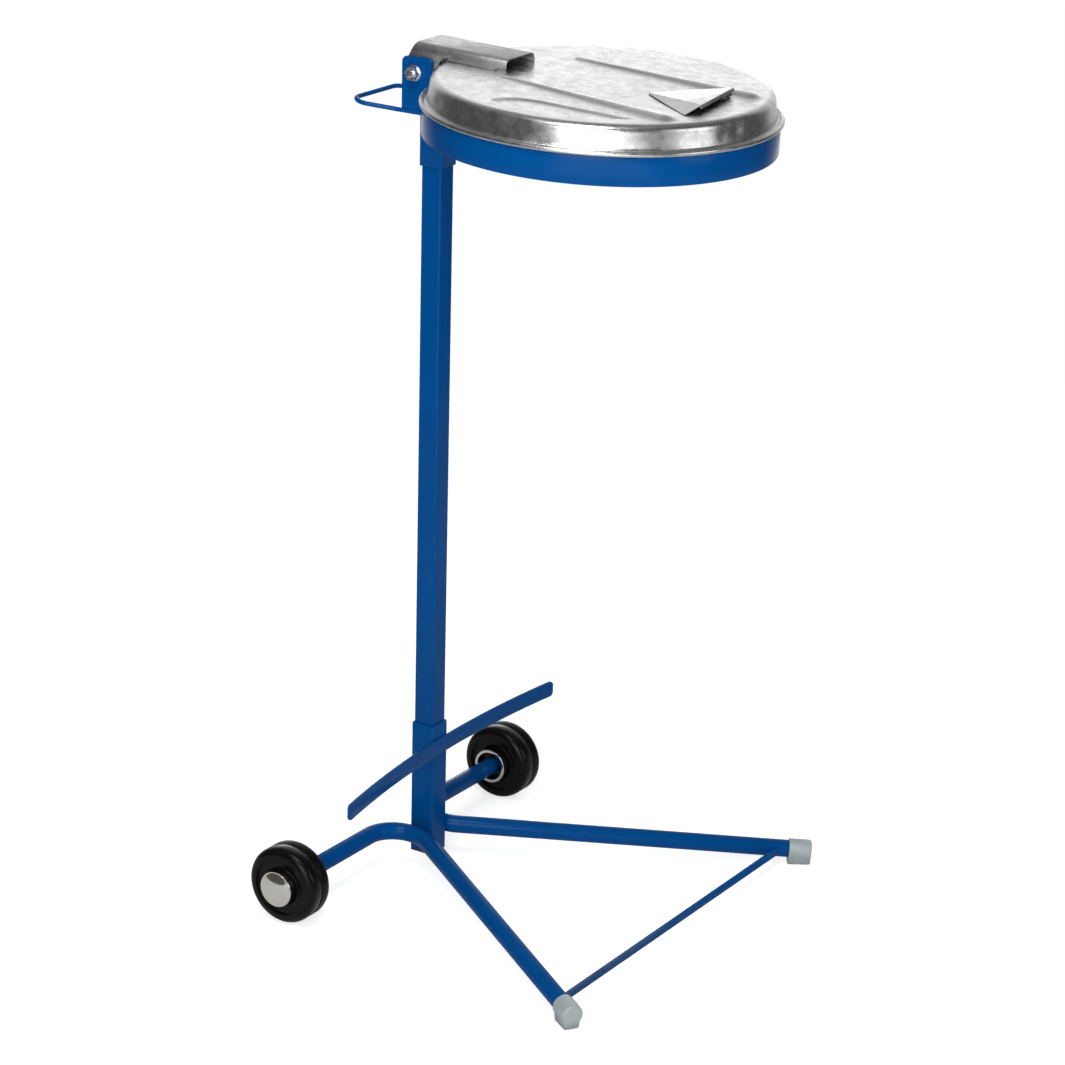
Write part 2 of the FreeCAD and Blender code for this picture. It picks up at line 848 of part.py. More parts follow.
def at_hinge(item, turned=True):
    """Put an item at the hinge axis, drooping with the hoop where turned is set."""
    turn = ((0, 1, 0), D["droop"]) if turned else None
    place(item, D["column_x"] + D["hinge_x"], 0, D["hinge_z"], turn)


def make_hinge_bolt():
    """A round-headed bolt through both ears and the lid's arm, with its head on the left."""
    body = new_body("hinge_bolt")
    grip = ear_outer + D["washer_sheet"]
    tail = grip + D["nut_height"] + D["bolt_tail"]
    head = D["bolt_head_radius"]
    height = D["bolt_head_height"]
    profile = new_sketch(body, "profile", "YZ_Plane")
    draw_outline(
        profile,
        [
            (-tail, ZERO),
            (grip + height, ZERO, dome_radius(head, height)),
            (grip, head),
            (grip, D["bolt_radius"]),
            (-tail, D["bolt_radius"]),
        ],
    )
    revolve(body, profile, "H_Axis")
    at_hinge(body, False)
    return body


def make_hinge_nut():
    body = new_body("hinge_nut")
    start = ear_outer + D["washer_sheet"]
    section = new_sketch(body, "section", "XZ_Plane", offset=start)
    flat = D["nut_radius"] * cosine(sized(30))
    half = D["nut_radius"] / 2
    draw_outline(
        section,
        [
            (D["nut_radius"], ZERO),
            (half, flat),
            (-half, flat),
            (-D["nut_radius"], ZERO),
            (-half, -flat),
            (half, -flat),
        ],
    )
    draw_circle(section, D["bolt_radius"])
    pad(body, section, D["nut_height"])
    at_hinge(body, False)
    return body


def make_hinge_washers():
    """Two washers, one under the bolt's head and one under the nut."""
    washers = []
    for number, side in enumerate((1, -1), start=1):
        body = new_body(f"hinge_washer_{number}")
        section = new_sketch(body, "section", "XZ_Plane")
        draw_circle(section, D["washer_radius"])
        draw_circle(section, D["bolt_radius"] + D["bolt_fit"])
        pad(body, section, D["washer_sheet"])
        seat = -ear_outer if side < 0 else ear_outer + D["washer_sheet"]
        place(body, D["column_x"] + D["hinge_x"], seat, D["hinge_z"])
        washers.append(body)
    return join("hinge_washers", washers)


def make_holding_ring():
    """The hoop that carries the sack's mouth, rolled from flat bar."""
    body = new_body("holding_ring")
    section = new_sketch(body, "section", offset=-D["hoop_bottom"])
    draw_circle(section, D["hoop_radius"], hoop_centre, ZERO)
    draw_circle(section, D["hoop_radius"] - D["hoop_sheet"], hoop_centre, ZERO)
    pad(body, section, D["hoop_height"])
    at_hinge(body)
    return body


def bent_path(points, radii):
    """A wire of straight runs joined by tangent arcs, one radius for each inner point."""
    edges = []
    start = points[0]
    for before, corner, after, radius in zip(points, points[1:], points[2:], radii):
        into = (corner - before).normalize()
        out = (after - corner).normalize()
        turn = math.acos(max(-1, min(1, into.dot(out))))
        setback = radius * math.tan(turn / 2)
        arc_start = corner - into * setback
        arc_stop = corner + out * setback
        inward = (out - into).normalize()
        crest = corner + inward * (radius / math.cos(turn / 2) - radius)
        edges.append(Part.LineSegment(start, arc_start).toShape())
        edges.append(Part.Arc(arc_start, crest, arc_stop).toShape())
        start = arc_stop
    edges.append(Part.LineSegment(start, points[-1]).toShape())
    return Part.Wire(edges)


def make_carry_handle():
    """A round bar bent to a loop, welded along the lower edges of the ears."""
    radius = D["handle_radius"].number
    front = D["handle_front"].number
    splay_start = -(D["ear_rear"] + D["handle_clear"]).number
    ear_line = (ear_inner + D["bracket_sheet"] / 2).number
    splay_x = -D["handle_splay_end"].number
    rear_x = -D["handle_rear"].number
    wide = D["handle_half_width"].number
    narrow = D["handle_rear_half_width"].number
    rise = D["handle_rise"].number
    splay_z = rise * (splay_start - splay_x) / (splay_start - rear_x)
    half = [
        FreeCAD.Vector(front, ear_line, 0),
        FreeCAD.Vector(splay_start, ear_line, 0),
        FreeCAD.Vector(splay_x, wide, splay_z),
        FreeCAD.Vector(rear_x, narrow, rise),
    ]
    other = [FreeCAD.Vector(point.x, -point.y, point.z) for point in reversed(half)]
    bend = D["handle_bend"].number
    radii = [bend, bend / 2, bend / 2, bend / 2, bend / 2, bend]
    path = bent_path(half + other, radii)
    ring = Part.makeCircle(radius, half[0], FreeCAD.Vector(1, 0, 0))
    handle = doc.addObject("Part::Feature", "carry_handle")
    handle.Shape = path.makePipeShell([Part.Wire([ring])], True, False)
    handle.Label = "carry_handle"
    place(handle, D["column_x"], 0, D["bracket_bottom"] - D["handle_radius"])
    return handle


# Lid, its arm and its grip, drawn from the hinge axis with the hoop's droop taken out
def make_lid_form(name, inset):
    """The lid's solid form, drawn in by inset: a drum with a rounded upper edge and two
    tapered ribs, less two long sunk panels."""
    body = new_body(f"{name}_drum")
    profile = new_sketch(body, "profile", "XZ_Plane")
    radius = lid_radius - inset
    top = lid_top - inset
    bottom = rim_centre_z - inset
    corner = D["lid_corner"] - inset
    draw_outline(
        profile,
        [(ZERO, bottom), (radius, bottom), (radius, top - corner, corner), (radius - corner, top), (ZERO, top)],
    )
    revolve(body, profile)
    ribs = []
    for side in (1, -1):
        ribs += make_rib(f"{name}_rib_{side + 1}", side, inset)
    raised = join(f"{name}_raised", [body] + ribs)
    panels = [make_panel(f"{name}_panel_{side + 1}", side, inset) for side in (1, -1)]
    sunk = doc.addObject("Part::Cut", f"{name}_form")
    sunk.Base = raised
    sunk.Tool = join(f"{name}_panels", panels)
    return sunk


def make_rib(name, side, inset):
    """A cone laid along the lid with a ball at each end, mostly below the lid's top."""
    small = D["rib_rear_radius"] - inset
    large = D["rib_front_radius"] - inset
    rear = (-D["rib_rear_x"], side * D["rib_rear_y"], lid_top + D["rib_height"] / 2 - D["rib_rear_radius"])
    front = (-D["rib_front_x"], side * D["rib_front_y"], lid_top + D["rib_height"] - D["rib_front_radius"])
    start = FreeCAD.Vector(*[item.number for item in rear])
    run = FreeCAD.Vector(*[item.number for item in front]) - start
    cone = doc.addObject("Part::Cone", name)
    bind(cone, "Radius1", small)
    bind(cone, "Radius2", large)
    cone.Height = run.Length
    cone.Placement = FreeCAD.Placement(start, FreeCAD.Rotation(FreeCAD.Vector(0, 0, 1), run))
    pieces = [cone]
    for label, spot, radius in (("rear", rear, small), ("front", front, large)):
        ball = doc.addObject("Part::Sphere", f"{name}_{label}")
        bind(ball, "Radius", radius)
        place(ball, *spot)
        pieces.append(ball)
    return pieces


def make_panel(name, side, inset):
    """A long round-ended block that sinks one panel into the lid's top."""
    body = new_body(name)
    half = D["panel_width"] / 2 + inset
    reach = (D["panel_length"] - D["panel_width"]) / 2
    outline = new_sketch(body, "outline", offset=lid_top - inset - D["panel_depth"])
    left = D["panel_x"] - reach
    right = D["panel_x"] + reach
    middle = side * D["panel_y"]
    draw_outline(
        outline,
        [
            (left, middle - half),
            (right, middle - half, half * 1.001),
            (right, middle + half),
            (left, middle + half, half * 1.001),
        ],
    )
    pad(body, outline, D["lid_corner"])
    return body


def make_lid():
    outer = make_lid_form("lid_outer", ZERO)
    inner = make_lid_form("lid_inner", D["lid_sheet"])
    shell = doc.addObject("Part::Cut", "lid_shell")
    shell.Base = outer
    shell.Tool = inner
    rim = doc.addObject("Part::Torus", "lid_rim")
    bind(rim, "Radius1", lid_radius - D["lid_rim_radius"] + D["lid_sheet"] * 0.8)
    bind(rim, "Radius2", D["lid_rim_radius"])
    place(rim, 0, 0, rim_centre_z)
    lid = join("lid", [shell, rim])
    shift = hoop_centre.number
    angle = D["droop"].number
    lean = FreeCAD.Rotation(FreeCAD.Vector(0, 1, 0), angle)
    hinge = FreeCAD.Vector((D["column_x"] + D["hinge_x"]).number, 0, D["hinge_z"].number)
    lid.Placement = FreeCAD.Placement(hinge + lean.multVec(FreeCAD.Vector(shift, 0, 0)), lean)
    return lid


def make_hinge_arm():
    """An inverted channel with eyes for the bolt at its rear and foot flanges on the lid."""
    body = new_body("hinge_arm")
    wall = D["arm_sheet"]
    bend = D["arm_bend"]
    inner_bend = bend - wall
    eye = D["arm_eye"]
    inside = arm_half - wall
    under = D["arm_top"] - wall
    section = new_sketch(body, "section", "YZ_Plane", offset=-eye)
    draw_outline(
        section,
        [
            (-arm_half, -eye),
            (-inside, -eye),
            (-inside, under - inner_bend, -inner_bend),
            (inner_bend - inside, under),
            (inside - inner_bend, under, -inner_bend),
            (inside, under - inner_bend),
            (inside, -eye),
            (arm_half, -eye),
            (arm_half, D["arm_top"] - bend, bend),
            (arm_half - bend, D["arm_top"]),
            (bend - arm_half, D["arm_top"], bend),
            (-arm_half, D["arm_top"] - bend),
        ],
    )
    pad(body, section, eye + D["arm_front"])
    below = new_sketch(body, "below", "XZ_Plane")
    slant = eye * 0.7071
    draw_outline(
        below,
        [
            (-eye * 2, -eye * 2),
            (D["arm_front"] + eye, -eye * 2),
            (D["arm_front"] + eye, lid_top),
            (D["arm_throat_x"] + D["arm_throat_run"], lid_top),
            (D["arm_throat_x"], D["arm_throat_z"]),
            (slant, -slant, -eye),
            (-eye, ZERO),
            (-eye * 2, ZERO),
        ],
    )
    pocket(body, below, arm_half * 4, "Symmetric")
    behind = new_sketch(body, "behind", "XZ_Plane")
    draw_outline(
        behind,
        [
            (-eye * 2, ZERO),
            (-eye, ZERO),
            (-eye, D["arm_top"] / 2),
            (eye / 4, D["arm_top"] + eye),
            (-eye * 2, D["arm_top"] + eye),
        ],
    )
    pocket(body, behind, arm_half * 4, "Symmetric")
    hole = new_sketch(body, "hole", "XZ_Plane")
    draw_circle(hole, D["bolt_radius"] + D["bolt_fit"])
    pocket(body, hole, arm_half * 4, "Symmetric")
    for label, side in (("left", 1), ("right", -1)):
        flange = new_sketch(body, f"flange_{label}", offset=lid_top)
        inner_edge = side * arm_half
        outer_edge = side * (arm_half + D["foot_flange_width"])
        low_edge = outer_edge if side < 0 else inner_edge
        high_edge = inner_edge if side < 0 else outer_edge
        draw_rectangle(flange, D["foot_flange_rear"], low_edge, D["foot_flange_front"], high_edge)
        pad(body, flange, wall)
    at_hinge(body)
    return body


def make_lid_grip():
    """A shield of bent sheet that rises from its rear point to an open front, with sloping
    sides and a folded hem along the middle of its front edge."""
    body = new_body("lid_grip")
    sheet_wall = D["grip_sheet"]
    flat = D["grip_flat"]
    wide = D["grip_half_width"]
    high = D["grip_height"]
    slack = sheet_wall * 1.6
    wedge = sheet_wall * wide / high
    ratio = D["grip_tip"]
    front_points = [
        (-wide, ZERO),
        (wedge * 0.5 - wide, ZERO),
        (slack * 0.3 - flat, high - sheet_wall),
        (flat - slack * 0.3, high - sheet_wall),
        (wide - wedge * 0.5, ZERO),
        (wide, ZERO),
        (flat, high),
        (-flat, high),
    ]
    front = new_sketch(body, "front", "YZ_Plane", offset=D["grip_front"])
    draw_outline(front, front_points)
    rear = new_sketch(body, "rear", "YZ_Plane", offset=D["grip_apex"])
    rear_points = [
        (-wide * ratio, ZERO),
        (-wide * ratio * 0.5, ZERO),
        (-wide * ratio * 0.3, sheet_wall * 0.3),
        (wide * ratio * 0.3, sheet_wall * 0.3),
        (wide * ratio * 0.5, ZERO),
        (wide * ratio, ZERO),
        (flat * ratio, sheet_wall),
        (-flat * ratio, sheet_wall),
    ]
    draw_outline(rear, rear_points)
    doc.recompute()
    loft = body.newObject("PartDesign::AdditiveLoft", "lid_grip_loft")
    loft.Profile = front
    loft.Sections = [rear]
    loft.Ruled = True
    for label, side in (("left", 1), ("right", -1)):
        trim = new_sketch(body, f"trim_{label}")
        corners = [
            (D["grip_front"] + 1, side * flat),
            (D["grip_front"] + 1, side * (wide + 5)),
            (D["grip_front"] - D["grip_corner_setback"], side * (wide + 5)),
            (D["grip_front"] - D["grip_corner_setback"], side * wide),
        ]
        draw_outline(trim, corners if side < 0 else corners[::-1])
        pocket(body, trim, high * 4, "Symmetric")
    hem = new_sketch(body, "hem", "YZ_Plane", offset=D["grip_front"])
    draw_rectangle(hem, -flat, high - D["grip_hem"], flat, high)
    pad(body, hem, sheet_wall)
    at_hinge(body)
    moved = body.Placement.multiply(FreeCAD.Placement(FreeCAD.Vector(0, 0, lid_top.number), FreeCAD.Rotation()))
    body.setExpression("Placement.Base.x", None)
    body.setExpression("Placement.Base.z", None)
    body.Placement = moved
    return body


def build():
    """Every node of the holder, by name."""
    column_length = D["column_top"] - column_bottom
    screw_low = D["base_sleeve_bottom"] + D["base_screw_height"]
    screw_high = D["top_sleeve_bottom"] + D["top_screw_height"]
    nodes = [
        make_square_tube(
            "column",
            column_half,
            D["column_wall"],
            D["column_corner"],
            column_length,
            column_bottom,
            screw_low - column_bottom,
        ),
        make_square_tube(
            "base_sleeve",
            sleeve_half,
            D["sleeve_wall"],
            D["sleeve_corner"],
            D["base_sleeve_length"],
            D["base_sleeve_bottom"],
            D["base_screw_height"],
        ),
        make_square_tube(
            "top_sleeve",
            sleeve_half,
            D["sleeve_wall"],
            D["sleeve_corner"],
            D["top_sleeve_length"],
            D["top_sleeve_bottom"],
            D["top_screw_height"],
        ),
    ]
    column = nodes[0]
    upper_hole = new_sketch(column, "upper_hole", "YZ_Plane")
    draw_circle(upper_hole, D["screw_radius"], ZERO, screw_high - column_bottom)
    pocket(column, upper_hole, D["column_width"])
    nodes += [make_sleeve_plug(), make_column_screws()]
    nodes += make_feet()
    nodes += [make_cross_brace(), make_sack_guard()]
    for label, side in (("left", 1), ("right", -1)):
        nodes.append(make_base_tube(f"base_tube_{label}", side))
        nodes.append(make_wheel(f"wheel_{label}", side))
        nodes.append(make_hub_cap(f"hub_cap_{label}", side))
        nodes.append(make_hub_ring(f"hub_ring_{label}", side))
        nodes.append(make_axle(f"axle_{label}", side))
    nodes += [
        make_axle_clips(),
        make_hinge_bracket(),
        make_hinge_bolt(),
        make_hinge_nut(),
        make_hinge_washers(),
        make_holding_ring(),
        make_carry_handle(),
        make_lid(),
        make_hinge_arm(),
        make_lid_grip(),
    ]
    return nodes


def check_and_write(nodes):
    """Stop if anything failed to build, then write one file for each node."""
    doc.recompute()
    for item in doc.Objects:
        if "Invalid" in item.State or "Error" in item.State:
            raise RuntimeError(f"{item.Name} is {item.State}")
    for node in nodes:
        if node.Shape.isNull() or not node.Shape.isValid():
            raise RuntimeError(f"{node.Label} has no valid shape")
    os.makedirs("parts", exist_ok=True)
    for node in nodes:
        node.Shape.exportStep(f"parts/{node.Label}.step")
        box = node.Shape.BoundBox
        print(
            f"{node.Label}: {len(node.Shape.Solids)} solids, {node.Shape.Volume:.0f} mm3, "
            f"x {box.XMin:.1f}..{box.XMax:.1f}, y {box.YMin:.1f}..{box.YMax:.1f}, z {box.ZMin:.1f}..{box.ZMax:.1f}"
        )


check_and_write(build())
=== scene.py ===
import json
import math

import bpy
from mathutils import Matrix, Vector

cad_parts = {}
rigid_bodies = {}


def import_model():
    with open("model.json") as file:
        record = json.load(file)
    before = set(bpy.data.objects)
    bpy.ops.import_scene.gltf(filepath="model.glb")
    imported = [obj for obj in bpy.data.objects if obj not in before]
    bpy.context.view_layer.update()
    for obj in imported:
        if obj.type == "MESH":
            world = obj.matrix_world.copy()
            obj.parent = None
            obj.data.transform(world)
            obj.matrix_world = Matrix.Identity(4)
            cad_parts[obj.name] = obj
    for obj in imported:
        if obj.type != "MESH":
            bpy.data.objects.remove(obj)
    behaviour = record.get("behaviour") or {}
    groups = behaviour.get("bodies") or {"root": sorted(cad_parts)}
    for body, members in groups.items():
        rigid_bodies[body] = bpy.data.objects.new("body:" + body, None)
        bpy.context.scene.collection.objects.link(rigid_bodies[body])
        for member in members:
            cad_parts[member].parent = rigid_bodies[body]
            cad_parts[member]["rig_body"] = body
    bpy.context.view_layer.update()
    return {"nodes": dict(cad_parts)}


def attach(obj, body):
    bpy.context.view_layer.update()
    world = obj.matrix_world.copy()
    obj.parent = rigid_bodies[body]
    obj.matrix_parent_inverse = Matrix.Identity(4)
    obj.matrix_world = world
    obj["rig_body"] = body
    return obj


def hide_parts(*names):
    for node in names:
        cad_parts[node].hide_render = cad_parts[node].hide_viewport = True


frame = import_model()
nodes = frame["nodes"]

MM = 0.001

# Where the turning parts sit, from the same sizes as the solids
HINGE = Vector((-0.1966, 0.0, 1.0998))
DROOP = math.radians(2.0)
LEAN = Matrix.Translation(HINGE) @ Matrix.Rotation(DROOP, 4, "Y")
LID_CENTRE = 256.75
WHEEL_X = -229.6
WHEEL_Y = 253.6
WHEEL_Z = 52.5


# Working in Blender's edit mode
def pick_only(piece):
    """Make one object the only selected one."""
    for other in bpy.context.selected_objects:
        other.select_set(False)
    piece.select_set(True)
    bpy.context.view_layer.objects.active = piece


def edit(piece):
    pick_only(piece)
    bpy.ops.object.mode_set(mode="EDIT")
    bpy.ops.mesh.select_all(action="SELECT")


def leave_edit():
    bpy.ops.object.mode_set(mode="OBJECT")


def apply_modifier(piece, kind, **settings):
    modifier = piece.modifiers.new(kind.lower(), kind)
    for name, value in settings.items():
        setattr(modifier, name, value)
    pick_only(piece)
    bpy.ops.object.modifier_apply(modifier=modifier.name)


def soften(piece, width, angle, segments=2):
    """Round the edges that turn by more than an angle."""
    apply_modifier(
        piece,
        "BEVEL",
        width=width * MM,
        segments=segments,
        limit_method="ANGLE",
        angle_limit=math.radians(angle),
    )


def thicken(piece, thickness, axis, grow):
    """Give a sheet its thickness, towards the axis (grow 1) or away from it (grow -1)."""
    facing = sum(face.normal[axis] * face.area for face in piece.data.polygons)
    apply_modifier(piece, "SOLIDIFY", thickness=thickness * MM, offset=grow if facing > 0 else -grow)


def settle_normals():
    """Turn every face the same way and leave edit mode."""
    bpy.ops.mesh.select_all(action="SELECT")
    bpy.ops.mesh.normals_make_consistent(inside=False)
    leave_edit()


def smooth(piece, angle=32):
    pick_only(piece)
    bpy.ops.object.shade_smooth_by_angle(angle=math.radians(angle))


def new_piece(name, points, edges):
    mesh = bpy.data.meshes.new(name)
    mesh.from_pydata([Vector(point) * MM for point in points], edges, [])
    piece = bpy.data.objects.new(name, mesh)
    bpy.context.scene.collection.objects.link(piece)
    return piece


def rounded(corners, steps=5):
    """Points along an outline, with each (x, y, radius) corner turned into an arc."""
    points = []
    for index, corner in enumerate(corners):
        spot = Vector(corner[:2])
        if len(corner) < 3:
            points.append(tuple(spot))
            continue
        into = (spot - Vector(corners[index - 1][:2])).normalized()
        out = (Vector(corners[(index + 1) % len(corners)][:2]) - spot).normalized()
        turn = into.angle(out)
        start = spot - into * corner[2] * math.tan(turn / 2)
        side = 1 if into.x * out.y - into.y * out.x > 0 else -1
        middle = start + Vector((-into.y, into.x)) * corner[2] * side
        arm = start - middle
        for step in range(steps + 1):
            angle = side * turn * step / steps
            points.append(
                (
                    middle.x + arm.x * math.cos(angle) - arm.y * math.sin(angle),
                    middle.y + arm.x * math.sin(angle) + arm.y * math.cos(angle),
                )
            )
    return points


def turned(name, outline, steps=128, closed=True):
    """A piece spun about X from an outline of (along the axis, radius) points."""
    edges = chain(len(outline))
    if closed:
        edges.append((len(outline) - 1, 0))
    piece = new_piece(name, [(x, 0, radius) for x, radius in outline], edges)
    edit(piece)
    bpy.ops.mesh.spin(steps=steps, angle=math.tau, center=(0, 0, 0), axis=(1, 0, 0))
    bpy.ops.mesh.select_all(action="SELECT")
    bpy.ops.mesh.remove_doubles(threshold=1e-6)
    settle_normals()
    return piece


def choose(piece, test):
    """Go into edit mode with the vertices picked that pass a test on their place in mm."""
    pick_only(piece)
    bpy.ops.object.mode_set(mode="EDIT")
    bpy.ops.mesh.select_mode(type="VERT")
    bpy.ops.mesh.select_all(action="DESELECT")
    bpy.ops.object.mode_set(mode="OBJECT")
    for vertex in piece.data.vertices:
        vertex.select = test(vertex.co / MM)
    bpy.ops.object.mode_set(mode="EDIT")


def extrude_lines(x=0.0, z=0.0):
    """Extrude the picked lines to a sheet by so many mm."""
    bpy.ops.mesh.extrude_edges_move(TRANSFORM_OT_translate={"value": (x * MM, 0, z * MM)})


def chain(count):
    """The edges that join a row of points one after another."""
    return [(index, index + 1) for index in range(count - 1)]


def arc(radius, first, last, steps):
    """Points of an arc round the origin, between two angles in degrees."""
    angles = [math.radians(first + (last - first) * step / steps) for step in range(steps + 1)]
    return [(radius * math.cos(angle), radius * math.sin(angle)) for angle in angles]


def finish_piece(piece, body, finish, slot, *replaced):
    piece.data.materials.clear()
    piece.data.materials.append(finish)
    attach(piece, body)
    if replaced:
        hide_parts(*replaced)
    return piece


# Finishes
def new_finish(name, colour, metallic=0.0, roughness=0.5):
    finish = bpy.data.materials.new(name)
    finish.use_nodes = True
    tree = finish.node_tree
    shader = tree.nodes["Principled BSDF"]
    shader.inputs["Base Color"].default_value = (*colour, 1)
    shader.inputs["Metallic"].default_value = metallic
    shader.inputs["Roughness"].default_value = roughness
    return finish, tree, shader


def add(tree, kind, **settings):
    node = tree.nodes.new(kind)
    for name, value in settings.items():
        setattr(node, name, value)
    return node


def object_place(tree):
    return add(tree, "ShaderNodeTexCoord").outputs["Object"]


def noise(tree, place, scale, detail=3.0, distortion=0.0):
    """Noise with so many waves a metre."""
    node = add(tree, "ShaderNodeTexNoise")
    node.inputs["Scale"].default_value = scale
    node.inputs["Detail"].default_value = detail
    node.inputs["Distortion"].default_value = distortion
    tree.links.new(place, node.inputs["Vector"])
    return node.outputs["Fac"]


def remap(tree, value, low, high, to_low, to_high):
    node = add(tree, "ShaderNodeMapRange")
    for name, number in zip(("From Min", "From Max", "To Min", "To Max"), (low, high, to_low, to_high)):
        node.inputs[name].default_value = number
    tree.links.new(value, node.inputs["Value"])
    return node.outputs["Result"]


def blend_colours(tree, share, first, second):
    """Mix two colours, each given as numbers or as a socket."""
    node = add(tree, "ShaderNodeMix", data_type="RGBA")
    tree.links.new(share, node.inputs["Factor"])
    for socket, value in ((node.inputs[6], first), (node.inputs[7], second)):
        if isinstance(value, tuple):
            socket.default_value = (*value, 1)
        else:
            tree.links.new(value, socket)
    return node.outputs[2]


def combine(tree, operation, first, second):
    node = add(tree, "ShaderNodeMath", operation=operation)
    for socket, value in ((node.inputs[0], first), (node.inputs[1], second)):
        if isinstance(value, float):
            socket.default_value = value
        else:
            tree.links.new(value, socket)
    return node.outputs["Value"]


def add_bump(tree, shader, height, depth, strength=1.0):
    """Bump of so many metres for a height that runs from 0 to 1."""
    node = add(tree, "ShaderNodeBump")
    node.inputs["Distance"].default_value = depth
    node.inputs["Strength"].default_value = strength
    tree.links.new(height, node.inputs["Height"])
    tree.links.new(node.outputs["Normal"], shader.inputs["Normal"])


def blue_paint():
    """Stove enamel with a faint orange peel, an uneven film and a few dull rubbed places."""
    finish, tree, shader = new_finish("blue_enamel", (0.0004, 0.064, 0.245), roughness=0.36)
    place = object_place(tree)
    film = remap(tree, noise(tree, place, 9.0, 4.0), 0.3, 0.7, 0.0, 1.0)
    colour = blend_colours(tree, film, (0.0003, 0.059, 0.225), (0.0006, 0.07, 0.265))
    rubbed = remap(tree, noise(tree, place, 26.0, 6.0, 0.8), 0.6, 0.8, 0.0, 0.22)
    colour = blend_colours(tree, rubbed, colour, (0.004, 0.082, 0.27))
    tree.links.new(colour, shader.inputs["Base Color"])
    wipe = noise(tree, place, 38.0, 5.0, 0.6)
    tree.links.new(remap(tree, wipe, 0.3, 0.7, 0.13, 0.23), shader.inputs["Roughness"])
    shader.inputs["Specular IOR Level"].default_value = 0.07
    add_bump(tree, shader, noise(tree, place, 260.0, 2.0), 0.0001, 0.35)
    return finish


def grey(level):
    return (level, level * 1.005, level)


def galvanised(name, level=1.0, dull=0.0):
    """Zinc-coated sheet: faint small crystals, rolling lines and dull clouds."""
    finish, tree, shader = new_finish(name, (0.56, 0.565, 0.565), metallic=1.0, roughness=0.3)
    place = object_place(tree)
    warp = add(tree, "ShaderNodeTexNoise")
    warp.inputs["Scale"].default_value = 60.0
    warp.inputs["Detail"].default_value = 2.0
    tree.links.new(place, warp.inputs["Vector"])
    shift = add(tree, "ShaderNodeVectorMath", operation="MULTIPLY_ADD")
    shift.inputs[1].default_value = (0.006, 0.006, 0.006)
    tree.links.new(warp.outputs["Color"], shift.inputs[0])
    tree.links.new(place, shift.inputs[2])
    crystals = add(tree, "ShaderNodeTexVoronoi")
    crystals.inputs["Scale"].default_value = 210.0
    tree.links.new(shift.outputs["Vector"], crystals.inputs["Vector"])
    parts = add(tree, "ShaderNodeSeparateColor")
    tree.links.new(crystals.outputs["Color"], parts.inputs["Color"])
    tone = blend_colours(tree, parts.outputs["Red"], grey(0.53 * level), grey(0.61 * level))
    cloud = remap(tree, noise(tree, place, 11.0, 6.0, 0.6), 0.38, 0.72, 0.0, 0.55)
    tone = blend_colours(tree, cloud, tone, grey(0.43 * level))
    stretch = add(tree, "ShaderNodeMapping")
    stretch.inputs["Rotation"].default_value = (0, 0, 0.35)
    stretch.inputs["Scale"].default_value = (12.0, 150.0, 60.0)
    tree.links.new(place, stretch.inputs["Vector"])
    lines = noise(tree, stretch.outputs["Vector"], 1.0, 4.0)
    rolled = remap(tree, lines, 0.52, 0.75, 0.0, 0.5)
    tone = blend_colours(tree, rolled, tone, grey(0.4 * level))
    tree.links.new(tone, shader.inputs["Base Color"])
    sheen = remap(tree, parts.outputs["Green"], 0.0, 1.0, 0.25 + dull, 0.31 + dull)
    grit = remap(tree, noise(tree, place, 60.0, 6.0), 0.3, 0.7, -0.05, 0.07)
    tree.links.new(combine(tree, "ADD", sheen, grit), shader.inputs["Roughness"])
    facets = combine(tree, "MULTIPLY", parts.outputs["Blue"], 0.25)
    ripple = combine(tree, "ADD", facets, noise(tree, place, 240.0, 3.0))
    add_bump(tree, shader, combine(tree, "ADD", ripple, lines), 0.0001, 0.45)
    return finish


def bright_metal(name, colour, roughness, scale):
    """Plated metal with fine handling marks."""
    finish, tree, shader = new_finish(name, colour, metallic=1.0, roughness=roughness)
    place = object_place(tree)
    marks = noise(tree, place, scale, 6.0, 1.5)
    sheen = remap(tree, marks, 0.35, 0.65, roughness * 0.7, roughness * 1.5)
    tree.links.new(sheen, shader.inputs["Roughness"])
    tint = tuple(channel * 0.86 for channel in colour)
    tree.links.new(blend_colours(tree, marks, tint, colour), shader.inputs["Base Color"])
    add_bump(tree, shader, noise(tree, place, scale * 4, 2.0), 0.00004, 0.4)
    return finish


def black_rubber():
    """Hard black tyre and hub in one moulding, with patches of dust."""
    finish, tree, shader = new_finish("black_rubber", (0.003, 0.0028, 0.0028), roughness=0.5)
    place = object_place(tree)
    dust = remap(tree, noise(tree, place, 55.0, 6.0, 0.8), 0.5, 0.8, 0.0, 0.3)
    colour = blend_colours(tree, dust, (0.003, 0.0028, 0.0028), (0.014, 0.013, 0.012))
    tree.links.new(colour, shader.inputs["Base Color"])
    shader.inputs["Specular IOR Level"].default_value = 0.16
    scuff = noise(tree, place, 160.0, 4.0, 0.5)
    tree.links.new(remap(tree, scuff, 0.3, 0.7, 0.18, 0.34), shader.inputs["Roughness"])
    add_bump(tree, shader, noise(tree, place, 700.0, 3.0), 0.0001, 0.5)
    return finish


